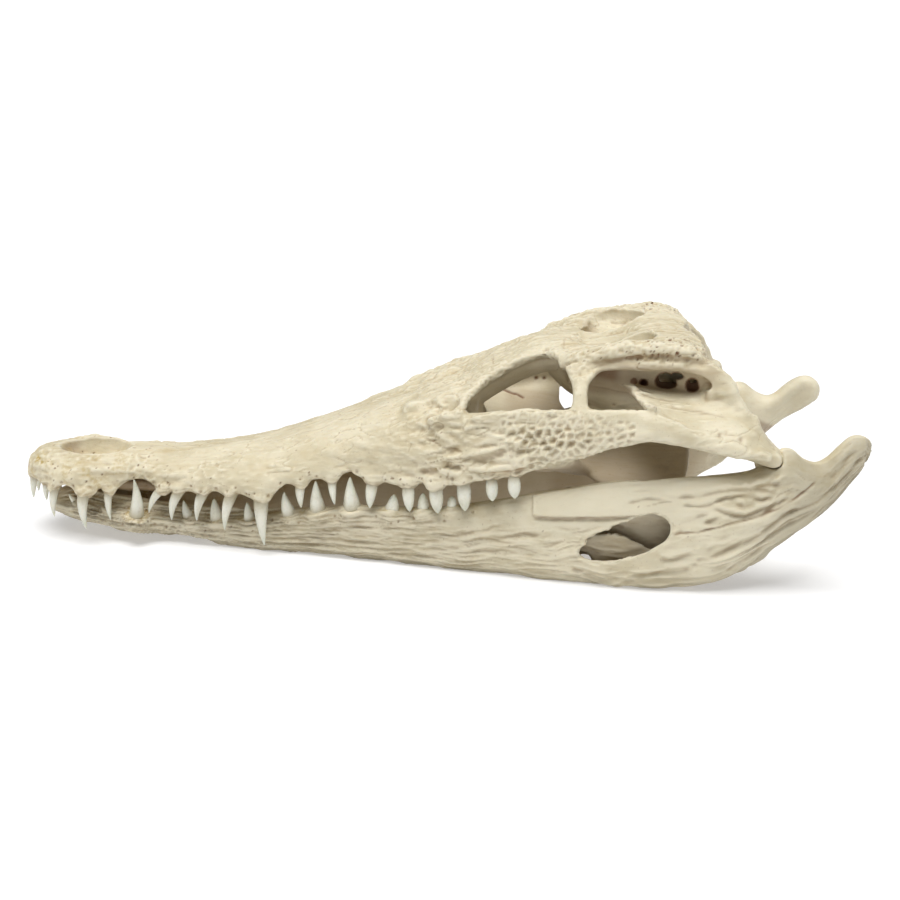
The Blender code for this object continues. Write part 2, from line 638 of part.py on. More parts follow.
def jaw_pieces(name, side):
    """One half of the lower jaw, parted through its window."""
    jaw = whole_jaw(side)
    halves = [above("z", REST_LEVEL), plane((0.0, 0.0, 0.0), -AXES["y"] * side)]
    pieces = {
        "jaw_front_" + name: [*halves, sloping(JAW_CUT, AXES["y"], -AXES["x"])],
        "jaw_rear_" + name: [*halves, sloping(JAW_CUT, AXES["y"], AXES["x"])],
    }
    made = {piece: part_off(jaw, piece, planes) for piece, planes in pieces.items()}
    bpy.data.objects.remove(jaw)
    return made


def main():
    for old in list(bpy.data.objects):
        bpy.data.objects.remove(old)
    cranium = whole_cranium()
    pieces = cranium_pieces(cranium)
    bpy.data.objects.remove(cranium)
    for side in SIDES.values():
        pits = [tooth(row, side, TOOTH_PLAY) for row in LOWER_TEETH if row[5] > TALL_TOOTH]
        combine(pieces["snout"], "DIFFERENCE", *pits)
        add_teeth(pieces["snout_tip"], [row for row in UPPER_TEETH if row[0] < TIP_CUT_X], side)
        add_teeth(pieces["snout"], [row for row in UPPER_TEETH if row[0] > TIP_CUT_X], side)
    bone = bone_material("bone", BONE_COLOUR)
    for piece in pieces.values():
        finish(piece, bone)

    jaw_bone = bone_material("jaw_bone", JAW_COLOUR)
    for name, side in SIDES.items():
        pieces = jaw_pieces(name, side)
        add_teeth(pieces["jaw_front_" + name], LOWER_TEETH, side)
        for piece in pieces.values():
            finish(piece, jaw_bone)


main()
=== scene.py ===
import bmesh
import bpy
import itertools
import math
import time
import numpy as np
from mathutils import Matrix, Vector
from mathutils.bvhtree import BVHTree
from mathutils.kdtree import KDTree


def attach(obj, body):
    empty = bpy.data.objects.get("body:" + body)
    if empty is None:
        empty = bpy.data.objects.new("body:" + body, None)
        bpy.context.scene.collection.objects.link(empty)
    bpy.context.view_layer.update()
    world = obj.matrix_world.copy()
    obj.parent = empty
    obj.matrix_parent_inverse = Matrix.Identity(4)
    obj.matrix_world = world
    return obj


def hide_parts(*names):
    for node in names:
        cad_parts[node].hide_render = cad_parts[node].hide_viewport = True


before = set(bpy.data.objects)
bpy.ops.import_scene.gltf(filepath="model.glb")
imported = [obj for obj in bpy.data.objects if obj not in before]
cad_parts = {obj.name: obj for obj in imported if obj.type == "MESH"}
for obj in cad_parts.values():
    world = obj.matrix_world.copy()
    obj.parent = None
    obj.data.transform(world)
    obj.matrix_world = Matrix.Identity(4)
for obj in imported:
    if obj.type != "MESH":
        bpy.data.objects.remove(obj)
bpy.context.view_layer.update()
started = time.time()

# Bone shapes are in millimetres: x back from the snout tip, y to the animal's right, z up.
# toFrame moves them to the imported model's metres.
skullFrame = {"middleX": 209.8, "floorZ": -4.45, "metres": 0.001}
sides = {"left": -1, "right": 1}


def report(words):
    print(f"{words}  [{time.time() - started:.0f} s]")


def toFrame():
    shift = Matrix.Translation((-skullFrame["middleX"], 0, -skullFrame["floorZ"]))
    return Matrix.Scale(skullFrame["metres"], 4) @ shift


# small helpers for numbers
def ramp(value, low, high):  # 0 at low, 1 at high, smooth between; low may be the larger one
    t = np.clip((value - low) / (high - low), 0, 1)
    return t * t * (3 - 2 * t)


def hill(value, middle, reach):  # 1 at the middle, 0 beyond the reach
    return 1 - ramp(np.abs(value - middle), 0, reach)


def span(value, low, high, soft):  # 1 between low and high, with soft ends
    return ramp(value, low - soft, low + soft) * (1 - ramp(value, high - soft, high + soft))


def bell(value, middle, width):  # 1 at the middle, falling off round it
    return np.exp(-(((value - middle) / width) ** 2))


def ellipse(a, b, middle, half):  # 0 in the middle, 1 on the rim
    return np.sqrt(((a - middle[0]) / half[0]) ** 2 + ((b - middle[1]) / half[1]) ** 2)


# large odd numbers that stir whole-number cells into chance
chance = {
    "seed": (144665, 9781, 4294967291),
    "axes": (374761393, 668265263, 2246822519),
    "rounds": ((13, 1274126177), (16, 2654435761)),
}
farOff = 500  # keeps the cells' whole numbers above 0
farAway = 99.0  # further than any mark on the skin reaches
faint = 0.02  # a mask weaker than this is skipped


def scatter(cell, seed):  # a steady random number from 0 to 1 for each whole-number cell
    factor, extra, around = chance["seed"]
    mixed = np.uint32((seed * factor + extra) % around)
    for numbers, factor in zip(np.moveaxis(cell, -1, 0), chance["axes"]):
        mixed = mixed + numbers.astype(np.uint32) * np.uint32(factor)
    for shift, factor in chance["rounds"]:
        mixed = (mixed ^ (mixed >> np.uint32(shift))) * np.uint32(factor)
    return ((mixed >> np.uint32(8)) & np.uint32(65535)) / 65535


def softNoise(points, size, seed):  # -1 to 1, with lumps of about this size; size may be one number for each axis
    place = points / np.asarray(size, dtype=float) + farOff
    cell = np.floor(place)
    part = place - cell
    cell = cell.astype(np.int64)
    part = part * part * part * (part * (part * 6 - 15) + 10)
    total = np.zeros(len(points))
    for corner in itertools.product((0, 1), repeat=3):
        share = np.ones(len(points))
        for axis in range(3):
            share *= part[:, axis] if corner[axis] else 1 - part[:, axis]
        total += scatter(cell + np.array(corner), seed) * share
    return total * 2 - 1


def roughNoise(points, size, seed, layers):
    total, weight = np.zeros(len(points)), 0
    size = np.asarray(size, dtype=float)
    for layer in range(layers):
        total += softNoise(points, size / 2 ** layer, seed + 17 * layer) / 2 ** layer
        weight += 0.5 ** layer
    return total / weight


def cells(points, size, seed, scatterBy=0.85):
    # distance to the nearest cell's middle and to its edge, and the cell's number
    place = points / np.asarray(size, dtype=float) + farOff
    cell = np.floor(place).astype(np.int64)
    near, second = np.full(len(points), farAway), np.full(len(points), farAway)
    number = np.zeros(len(points))
    for step in itertools.product((-1, 0, 1), repeat=points.shape[1]):
        other = cell + np.array(step)
        middle = np.stack([scatter(other, seed + 31 * k) for k in range(points.shape[1])], axis=1)
        middle = other + 0.5 + (middle - 0.5) * scatterBy
        away = np.sqrt(((place - middle) ** 2).sum(axis=1))
        number = np.where(away < near, scatter(other, seed + 977), number)
        second = np.minimum(second, np.maximum(near, away))
        near = np.minimum(near, away)
    return near, second - near, number


def wavy(points, shift, size, seed, by=None):  # places pushed to and fro along this shift, so that patterns waver
    return points + softNoise(points if by is None else by, size, seed)[:, None] * np.array(shift)


def smoothRows(rows, step):  # rows read off a smooth curve through the given rows
    points = [Vector(row) for row in rows]
    along = [0]
    for a, b in zip(points, points[1:]):
        along.append(along[-1] + (b - a).length)
    last = len(points) - 1
    slopes = []
    for i in range(last + 1):
        before, after = max(i - 1, 0), min(i + 1, last)
        slopes.append((points[after] - points[before]) / (along[after] - along[before]))
    read = []
    for i in range(last):
        reach = along[i + 1] - along[i]
        count = max(1, round(reach / step))
        for k in range(count):
            t = k / count
            read.append(
                points[i] * (2 * t**3 - 3 * t**2 + 1)
                + points[i + 1] * (3 * t**2 - 2 * t**3)
                + slopes[i] * reach * (t**3 - 2 * t**2 + t)
                + slopes[i + 1] * reach * (t**3 - t**2)
            )
    read.append(points[-1])
    return read


def power(value, exponent):
    return math.copysign(abs(value) ** exponent, value)


# shapes: each starts as a circle whose face is extruded from ring to ring
def loft(rings):
    mesh = bmesh.new()
    bmesh.ops.create_circle(mesh, cap_ends=True, segments=len(rings[0]), radius=1)
    mesh.faces.ensure_lookup_table()
    end = mesh.faces[0]
    start = list(end.verts)
    for vert, point in zip(end.verts, rings[0]):
        vert.co = point
    for ring in rings[1:]:
        end = bmesh.ops.extrude_discrete_faces(mesh, faces=[end])["faces"][0]
        for vert, point in zip(end.verts, ring):
            vert.co = point
    open_ = [edge for edge in mesh.edges if edge.is_boundary]
    if open_:
        bmesh.ops.holes_fill(mesh, edges=open_, sides=0)
    bmesh.ops.recalc_face_normals(mesh, faces=mesh.faces)
    return mesh


def midlineBody(rows, lower=2.2, arch=0, count=56, step=2.5):
    rings = []
    for x, half, low, top, belt, upper in smoothRows(rows, step):
        middle = low + (top - low) * belt
        ring = []
        for i in range(count):
            turn = 2 * math.pi * i / count
            y = half * power(math.cos(turn), 2 / upper)
            rise = math.sin(turn)
            if rise >= 0:
                z = middle + (top - middle) * power(rise, 2 / upper)
            else:
                y = half * power(math.cos(turn), 2 / lower)
                z = middle + (middle - low) * power(rise, 2 / lower)
                z += arch * (1 - (y / half) ** 2)
            ring.append(Vector((x, y, z)))
        rings.append(ring)
    return loft(rings)


def blade(rows, side=1, sharp=2.8, count=28, step=2.5):
    # a flat bar with rounded edges; a row of six numbers has both edges at one x
    rows = [row if len(row) == 7 else (*row[:3], row[0], *row[3:]) for row in rows]
    read = smoothRows(rows, step)
    middles = [Vector((r[0] + r[3], r[1] + r[4], r[2] + r[5])) / 2 for r in read]
    rings = []
    for i, row in enumerate(read):
        across = Vector((row[3] - row[0], row[4] - row[1], row[5] - row[2])) / 2
        onward = middles[min(i + 1, len(read) - 1)] - middles[max(i - 1, 0)]
        through = across.cross(onward).normalized() * row[6] / 2
        ring = []
        for k in range(count):
            turn = 2 * math.pi * k / count
            point = middles[i] + across * power(math.cos(turn), 2 / sharp)
            point += through * power(math.sin(turn), 2 / sharp)
            ring.append(Vector((point.x, point.y * side, point.z)))
        rings.append(ring)
    return loft(rings)


def ridge(rows, side=1, count=12, step=2, end=0.4):  # a round bar through (x, y, z, radius)
    read = smoothRows(rows, step)
    rings = []
    for i, row in enumerate(read):
        middle = Vector((row[0], row[1] * side, row[2]))
        a, b = read[max(i - 1, 0)], read[min(i + 1, len(read) - 1)]
        onward = Vector((b[0] - a[0], (b[1] - a[1]) * side, b[2] - a[2]))
        turn = onward.to_track_quat("Z", "Y").to_matrix()
        radius = row[3] * (end if i in (0, len(read) - 1) else 1)
        angles = [2 * math.pi * k / count for k in range(count)]
        rings.append([middle + turn @ Vector((math.cos(a), math.sin(a), 0)) * radius for a in angles])
    return loft(rings)


def ellipsoid(sizes, side=1, segments=32, turn=None):
    mesh = bmesh.new()
    bmesh.ops.create_uvsphere(mesh, u_segments=segments, v_segments=segments // 2, radius=1)
    bmesh.ops.scale(mesh, vec=sizes["half"], verts=mesh.verts)
    if turn:
        bmesh.ops.rotate(mesh, matrix=turn, verts=mesh.verts)
    middle = (sizes["x"], sizes.get("y", 0) * side, sizes["z"])
    bmesh.ops.translate(mesh, vec=middle, verts=mesh.verts)
    return mesh


# objects
def linkObject(name, data):
    made = bpy.data.objects.new(name, data)
    bpy.context.scene.collection.objects.link(made)
    return made


def addBodies(data, meshes):  # puts more closed meshes into an object's mesh
    joined = bmesh.new()
    joined.from_mesh(data)
    for mesh in meshes:
        part = bpy.data.meshes.new("scratch")
        mesh.to_mesh(part)
        mesh.free()
        joined.from_mesh(part)
        bpy.data.meshes.remove(part)
    joined.to_mesh(data)
    joined.free()


def toObject(name, *meshes):
    made = linkObject(name, bpy.data.meshes.new(name))
    addBodies(made.data, meshes)
    return made


def bakeModifiers(made):
    bpy.context.view_layer.update()
    graph = bpy.context.evaluated_depsgraph_get()
    baked = bpy.data.meshes.new_from_object(made.evaluated_get(graph), depsgraph=graph)
    old = made.data
    made.modifiers.clear()
    made.data = baked
    bpy.data.meshes.remove(old)
    return made


def melt(made, voxel, smoothing):  # melts overlapping bodies into one skin
    remesh = made.modifiers.new("melt", "REMESH")
    remesh.mode = "VOXEL"
    remesh.voxel_size = voxel
    soften = made.modifiers.new("soften", "SMOOTH")
    soften.factor = 0.5
    soften.iterations = smoothing
    return bakeModifiers(made)


def carve(made, cutters):  # cuts these closed meshes away
    for mesh in cutters:
        other = toObject("cutter", mesh)
        cut = made.modifiers.new("carve", "BOOLEAN")
        cut.operation = "DIFFERENCE"
        cut.solver = "MANIFOLD"
        cut.object = other
        before = len(made.data.polygons)
        bakeModifiers(made)
        if len(made.data.polygons) < before // 4:
            report("a cut failed")
        bpy.data.objects.remove(other)


def both(rows, shape=blade):
    return [shape(rows, side) for side in sides.values()]


def readPoints(made):
    points = np.empty(len(made.data.vertices) * 3)
    made.data.vertices.foreach_get("co", points)
    return points.reshape(-1, 3)


def readNormals(made):
    normals = np.empty(len(made.data.vertices) * 3, dtype=np.float32)
    made.data.vertex_normals.foreach_get("vector", normals)
    return normals.reshape(-1, 3).astype(float)


def movePoints(made, points):
    made.data.vertices.foreach_set("co", points.ravel())
    made.data.update()


def readEdges(made):
    edges = np.empty(len(made.data.edges) * 2, dtype=np.int32)
    made.data.edges.foreach_get("vertices", edges)
    return edges.reshape(-1, 2)


def spread(values, edges, rounds, share=0.5):  # smooths numbers over the skin
    count = np.bincount(edges.ravel(), minlength=len(values)).astype(float)
    count[count == 0] = 1
    for _ in range(rounds):
        total = np.bincount(edges[:, 0], weights=values[edges[:, 1]], minlength=len(values))
        total += np.bincount(edges[:, 1], weights=values[edges[:, 0]], minlength=len(values))
        values = values * (1 - share) + total / count * share
    return values


def hollowness(made, edges, rounds):  # above 0 in grooves and pits, below 0 on crests, in millimetres
    points, normals = readPoints(made), readNormals(made)
    settled = np.stack([spread(points[:, k], edges, rounds) for k in range(3)], axis=1)
    return ((settled - points) * normals).sum(axis=1)


shelterRays = {"reach": 60, "grain": 4, "start": 1.2, "grazing": 0.05, "spread": 24, "goldenTurn": 2.399963}


def sphereDirections(count):
    directions = []
    for k in range(count):
        z = 1 - (2 * k + 1) / count
        turn = k * shelterRays["goldenTurn"]
        flat = math.sqrt(1 - z * z)
        directions.append(Vector((flat * math.cos(turn), flat * math.sin(turn), z)))
    return directions


def shelter(made, rays):  # 0 in the open, 1 deep inside, read on a coarse copy of the skin
    coarse = linkObject("coarse", made.data.copy())
    melt(coarse, shelterRays["grain"], 0)
    mesh = coarse.data
    tree = BVHTree.FromPolygons([v.co[:] for v in mesh.vertices], [p.vertices[:] for p in mesh.polygons])
    directions = sphereDirections(rays * 2)
    places = KDTree(len(mesh.vertices))
    found = np.zeros(len(mesh.vertices))
    for i, vert in enumerate(mesh.vertices):
        normal = vert.normal
        start = vert.co + normal * shelterRays["start"]
        open_, total = 0, 0
        for direction in directions:
            face = direction.dot(normal)
            if face > shelterRays["grazing"]:
                total += face
                if tree.ray_cast(start, direction, shelterRays["reach"])[0] is None:
                    open_ += face
        found[i] = 1 - open_ / total if total else 1
        places.insert(vert.co, i)
    places.balance()
    closest = np.array([places.find(point)[1] for point in readPoints(made).tolist()], dtype=np.int64)
    bpy.data.objects.remove(coarse)
    return spread(found[closest], readEdges(made), shelterRays["spread"])


planes = {"side": (0, 2), "top": (0, 1)}  # the two coordinates that a drawn line has
# how far a normal leans before the skin starts to count as facing this way, and when it does fully
facing = {"outward": (0.10, 0.45), "upward": (0.25, 0.65), "inward": (0.1, 0.5)}


def strokes(points, lines, plane="side", reach=4):  # distance from each point to the nearest of these drawn lines
    flat = points[:, planes[plane]]
    nearest = np.full(len(points), farAway)
    for line in lines:
        for a, b in zip(line, line[1:]):
            a, b = np.array(a, dtype=float), np.array(b, dtype=float)
            low, high = np.minimum(a, b) - reach, np.maximum(a, b) + reach
            close = np.nonzero(((flat > low) & (flat < high)).all(axis=1))[0]
            if not len(close):
                continue
            along = b - a
            share = np.clip(((flat[close] - a) @ along) / max(along @ along, 1e-9), 0, 1)
            away = np.sqrt((((flat[close] - a) - share[:, None] * along) ** 2).sum(axis=1))
            nearest[close] = np.minimum(nearest[close], away)
    return nearest


def shifted(lines, rise):  # the same drawn lines, higher
    return [[(x, z + rise) for x, z in line] for line in lines]


def holeRow(random, line, steps, chosen, shift, rise, way=1):  # chance holes along a line of the side view
    return [
        (
            step + random.uniform(-shift, shift),
            float(np.interp(step, *line)) + way * random.uniform(*rise),
            random.uniform(0.4, 0.85),
        )
        for step in np.arange(*steps) if random.uniform(0, 1) < chosen
    ]


# painted shade in dips and sheltered places, with some stain in the dips, painted shade on faces that turn down, and
# painted highlights on crests; each pair is where an effect starts and where it is full
stainShadeAndHighlight = {
    "dipRounds": (5, 30),  # of smoothing, for small and for wide dips
    "smallDips": (0.03, 0.22), "smallDipStainAndShade": 0.28,
    "wideDips": (0.25, 1.4), "wideDipStainAndShade": 0.22,
    "sheltered": (0.60, 0.96), "shelterShade": 0.66, "lessShadeAbove": 0.45,
    "shadeBelow": 0.35,
    "highlitCrests": (0.02, 0.16),
}


class Surface:  # the skin of one bone while it is carved
    def __init__(self, made, regions, calm=None):
        self.made = made
        self.regions = regions  # named limits along x, side, z and so on
        self.calm = calm  # says where the skin is an inner wall, which stays smooth
        self.edges = readEdges(made)
        self.fresh()
        for name in ("lift", "stain", "pits", "warm", "grease", "dull", "pale"):
            setattr(self, name, np.zeros(len(self.points)))

    def fresh(self):  # reads the places and the normals again
        self.points, self.normals = readPoints(self.made), readNormals(self.made)
        self.x, self.y, self.z = self.points.T
        self.side = np.abs(self.y)
        self.outward = ramp(self.normals[:, 1] * np.sign(self.y), *facing["outward"])
        cheekRoom = ramp(self.x, 198, 206) * ramp(self.z, 79, 72) * ramp(self.side, 60, 56)
        self.upward = ramp(self.normals[:, 2], *facing["upward"]) * (1 - cheekRoom)
        self.downward = ramp(-self.normals[:, 2], *facing["upward"])
        if self.calm is not None:
            open_ = 1 - self.calm(self.x, self.side, self.z)
            self.outward, self.upward = self.outward * open_, self.upward * open_
        self.outer = np.maximum(self.outward, self.upward)

    def at(self, name):  # 1 within a region: (start, full) is a slope, (low, high, softness) is a band
        share = 1
        for axis, limits in self.regions[name].items():
            share = share * (ramp if len(limits) == 2 else span)(getattr(self, axis), *limits)
        return share

    def far(self, place):  # distance from a place
        return np.linalg.norm(self.points - np.array(place), axis=1)

    def press(self):  # moves the skin by the lifts gathered so far
        movePoints(self.made, self.points + self.normals * self.lift[:, None])
        self.lift[:] = 0
        self.fresh()

    def tint(self, name, amount):  # raises one of the skin's numbers to this amount
        setattr(self, name, np.maximum(getattr(self, name), amount))

    def rough(self, size, seed, layers, height, where=1, points=None):
        self.lift += roughNoise(self.points if points is None else points, size, seed, layers) * height * where

    def crease(self, size, seed, width, depth, where=1, points=None):
        self.lift -= creases(self.points if points is None else points, size, seed, width) * depth * where

    def work(self, rows, masks, points=None, turn=0):  # carves the rows of a table of textures
        for how, where, size, seed, fineness, amount in rows:
            getattr(self, how)(size, seed + turn, fineness, amount, masks[where], points)

    def draw(self, lines, depth, width, dark=0, plane="side", seed=71, waver=0.7, where=1, taper=5):
        mask = (self.outward if plane == "side" else self.upward) * where
        uneven = 0.72 + 0.5 * softNoise(self.points, 6, seed + 40)
        shift = np.stack([softNoise(self.points, 5, seed + k) for k in range(3)], axis=1)
        moved = self.points + shift * waver
        for line in lines:
            away = strokes(moved, [line], plane)
            close = np.nonzero(away < width * 3.5)[0]
            flat = moved[close][:, planes[plane]]
            toEnd = np.minimum(*(np.linalg.norm(flat - np.array(end), axis=1) for end in (line[0], line[-1])))
            strength = mask[close] * uneven[close] * ramp(toEnd, 0, taper)
            self.lift[close] -= depth * bell(away[close], 0, width) * strength
            # the line's darkness is a dark joint along a suture, and painted shade along a groove or under a ledge
            if dark:
                mark = dark * bell(away[close], 0, width * 0.6) * strength
                self.pits[close] = np.maximum(self.pits[close], mark)

    def scratch(self, line, depth, width, dark):  # a fine crack through places in space
        away = np.full(len(self.points), farAway)
        for a, b in zip(line, line[1:]):
            a, b = np.array(a), np.array(b)
            share = np.clip((self.points - a) @ (b - a) / ((b - a) @ (b - a)), 0, 1)
            away = np.minimum(away, np.linalg.norm(self.points - a - share[:, None] * (b - a), axis=1))
        mark = bell(away, 0, width)
        self.lift -= depth * mark
        self.tint("pits", dark * mark)

    def holes(self, spots, depth, dark):  # each spot is x, z and a radius, seen from the side
        flat = self.points[:, planes["side"]]
        for a, b, radius in spots:
            close = np.nonzero((np.abs(flat - np.array((a, b))) < radius * 3).all(axis=1))[0]
            away = np.linalg.norm(flat[close] - np.array((a, b)), axis=1)
            self.lift[close] -= depth * bell(away, 0, radius) * self.outward[close]
            # the hole's darkness is painted shade
            mark = dark * bell(away, 0, radius * 0.7) * self.outward[close]
            self.pits[close] = np.maximum(self.pits[close], mark)

    def pores(self, row, mask):
        size, seed, radius, depth, dark, chosen = row
        some = np.nonzero(mask > faint)[0]
        near, _, number = cells(self.points[some], size, seed)
        hole = ramp(near * size, radius, radius * 0.5) * mask[some] * (number < chosen)
        self.lift[some] -= hole * depth
        # the pore's darkness is painted shade
        self.pits[some] = np.maximum(self.pits[some], hole * dark)

    def cellPits(self, mask, points, size, seed, crest, depth, wall=0.8, steep=1, strength=None):
        # pits seen from the side, between raised walls
        some = np.nonzero(mask > faint)[0]
        edge = cells(points[some][:, planes["side"]], size, seed, 0.75)[1]
        strength = mask if strength is None else strength
        self.lift[some] += (crest - depth * np.clip(edge / wall, 0, 1) ** steep) * strength[some]

    def finish(self, rays=20):
        self.press()
        dips, wideDips = (hollowness(self.made, self.edges, rounds) for rounds in stainShadeAndHighlight["dipRounds"])
        # small and wide dips get brown stain and painted shade
        crevice = ramp(dips, *stainShadeAndHighlight["smallDips"]) * stainShadeAndHighlight["smallDipStainAndShade"]
        crevice += ramp(wideDips, *stainShadeAndHighlight["wideDips"]) * stainShadeAndHighlight["wideDipStainAndShade"]
        # painted shade where the skin is sheltered, found by rays cast round each point, lighter on faces that turn
        # up
        shade = ramp(shelter(self.made, rays), *stainShadeAndHighlight["sheltered"])
        shade *= stainShadeAndHighlight["shelterShade"] - stainShadeAndHighlight["lessShadeAbove"] * ramp(self.normals[:, 2], 0.25, 0.7)
        writeNumbers(self.made, "stain", np.maximum(self.stain, shade) + crevice)
        writeNumbers(self.made, "pits", self.pits)
        writeNumbers(self.made, "warm", self.warm + crevice)
        writeNumbers(self.made, "grease", self.grease)
        # faces that turn down get painted shade
        writeNumbers(self.made, "dull", self.dull + stainShadeAndHighlight["shadeBelow"] * self.downward)
        # crests get a painted highlight; pale places are added to it
        writeNumbers(self.made, "crest", ramp(-dips, *stainShadeAndHighlight["highlitCrests"]) + self.pale)


def creases(points, size, seed, width):  # 1 along wandering valley lines, which start and stop
    size = np.asarray(size, dtype=float)
    height = softNoise(points, size, seed) + 0.35 * softNoise(points, size / 2.1, seed + 5)
    return bell(height, 0, width) * ramp(softNoise(points, size * 1.4, seed + 9), -0.15, 0.35)


def inside(points, outline, soft):  # 1 inside an outline seen from the side, soft at its edge
    x, z = points[:, 0], points[:, 2]
    within = np.zeros(len(points), dtype=bool)
    closed = list(outline) + [outline[0]]
    for (ax, az), (bx, bz) in zip(closed, closed[1:]):
        if az != bz:
            within ^= ((az > z) != (bz > z)) & (x < (bx - ax) * (z - az) / (bz - az) + ax)
    return 0.5 + np.where(within, 0.5, -0.5) * ramp(strokes(points, [closed]), 0, soft)


def writeNumbers(made, name, values):
    layer = made.data.attributes.get(name) or made.data.attributes.new(name, "FLOAT", "POINT")
    layer.data.foreach_set("value", np.clip(values, 0, 1).astype(np.float32))


def cutPiece(whole, name, cuts):  # a closed copy of the part that lies behind these planes
    mesh = bmesh.new()
    mesh.from_mesh(whole.data)
    for point, normal in cuts:
        everything = mesh.verts[:] + mesh.edges[:] + mesh.faces[:]
        done = bmesh.ops.bisect_plane(
            mesh, geom=everything, dist=1e-6, plane_co=Vector(point), plane_no=Vector(normal), clear_outer=True
        )
        rim = [item for item in done["geom_cut"] if isinstance(item, bmesh.types.BMEdge)]
        for edge in rim:
            edge.smooth = False
        if rim:
            bmesh.ops.triangle_fill(mesh, edges=rim, use_beauty=False, normal=Vector(normal))
    data = bpy.data.meshes.new(name)
    mesh.to_mesh(data)
    mesh.free()
    return linkObject(name, data)


def settle(made, material, nodes):  # puts a finished piece in the frame
    made.data.transform(toFrame())
    made.data.materials.clear()
    made.data.materials.append(material)
    made.data.polygons.foreach_set("use_smooth", [True] * len(made.data.polygons))
    made.data.update()
    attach(made, "root")
    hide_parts(*nodes)
    report(f"{made.name}: {len(made.data.polygons)} faces")


# materials
def fromScreen(red, green, blue):  # screen colour to the linear colour that a shader takes
    return tuple(((c / 255 + 0.055) / 1.055) ** 2.4 if c > 10 else c / 255 / 12.92 for c in (red, green, blue)) + (1,)


boneFinish = {
    "cream": fromScreen(210, 200, 171),
    "ivory": fromScreen(236, 228, 203),
    "honey": fromScreen(200, 180, 136),
    # grey for painted shade on faces that turn down and on the lower jaw
    "shadeGrey": fromScreen(134, 124, 100),
    # brown for stain and for painted shade, and for the specks
    "oldStainAndShade": fromScreen(134, 97, 58),
    # dark brown for dark joints and cracks, and for painted shade in holes, grooves and slots
    "deepStainAndShade": fromScreen(116, 74, 46),
    "grease": fromScreen(186, 160, 90),
    "roughness": 0.52,
    "pores": 0.6,
    "poreDepth": 0.0006,
    # clouds of colour: the noise's scale, detail and stretch, and the values where a cloud starts and is full
    "cloudy": (38, 4, (1, 1, 1), 0.36, 0.64),
    "patchy": (95, 5, (0.6, 1, 1), 0.50, 0.72),
    "streaks": (420, 4, (0.16, 1, 1), 0.46, 0.70),
    "specks": (900, 2, (1, 1, 1), 0.66, 0.74),
    "greasy": (600, 3, (1, 1, 1), 0.35, 0.6),
    "body": {
        "Specular IOR Level": 0.35,
        "Subsurface Weight": 0.12,
        "Subsurface Radius": (1, 0.72, 0.42),
        "Subsurface Scale": 0.0015,
    },
}


def setInputs(node, values):
    for name, value in values.items():
        node.inputs[name].default_value = value


class Nodes:  # a small hand for laying out shader nodes
    def __init__(self, name):
        self.material = bpy.data.materials.new(name)
        self.material.use_nodes = True
        self.tree = self.material.node_tree
        self.shader = self.tree.nodes["Principled BSDF"]
        self.place = self.add("ShaderNodeTexCoord").outputs["Object"]

    def add(self, kind, **settings):
        node = self.tree.nodes.new(kind)
        for key, value in settings.items():
            setattr(node, key, value)
        return node

    def link(self, a, b):
        self.tree.links.new(a, b)

    def noise(self, scale, detail, stretch=(1, 1, 1), rough=0.55):
        mapping = self.add("ShaderNodeMapping")
        setInputs(mapping, {"Scale": stretch})
        self.link(self.place, mapping.inputs["Vector"])
        node = self.add("ShaderNodeTexNoise")
        setInputs(node, {"Scale": scale, "Detail": detail, "Roughness": rough})
        self.link(mapping.outputs["Vector"], node.inputs["Vector"])
        return node.outputs["Fac"]

    def attribute(self, name):
        return self.add("ShaderNodeAttribute", attribute_name=name).outputs["Fac"]

    def between(self, value, low, high):
        node = self.add("ShaderNodeMapRange", interpolation_type="SMOOTHSTEP")
        setInputs(node, {"From Min": low, "From Max": high})
        self.link(value, node.inputs["Value"])
        return node.outputs["Result"]

    def cloud(self, scale, detail, stretch, low, high):
        return self.between(self.noise(scale, detail, stretch), low, high)

    def fill(self, sockets, values):  # a value is either a plain one or another node's output
        for socket, value in zip(sockets, values):
            if isinstance(value, (int, float, tuple)):
                socket.default_value = value
            else:
                self.link(value, socket)

    def calculate(self, operation, a, b):
        node = self.add("ShaderNodeMath", operation=operation)
        self.fill(node.inputs, (a, b))
        return node.outputs["Value"]

    def plus(self, a, b):
        return self.calculate("ADD", a, b)

    def times(self, a, b):
        return self.calculate("MULTIPLY", a, b)

    def mix(self, share, a, b):
        node = self.add("ShaderNodeMix", data_type="RGBA")
        self.fill([node.inputs[k] for k in (0, 6, 7)], (share, a, b))
        return node.outputs[2]

    def bump(self, height, distance, strength):
        node = self.add("ShaderNodeBump")
        setInputs(node, {"Distance": distance, "Strength": strength})
        self.link(height, node.inputs["Height"])
        return node.outputs["Normal"]


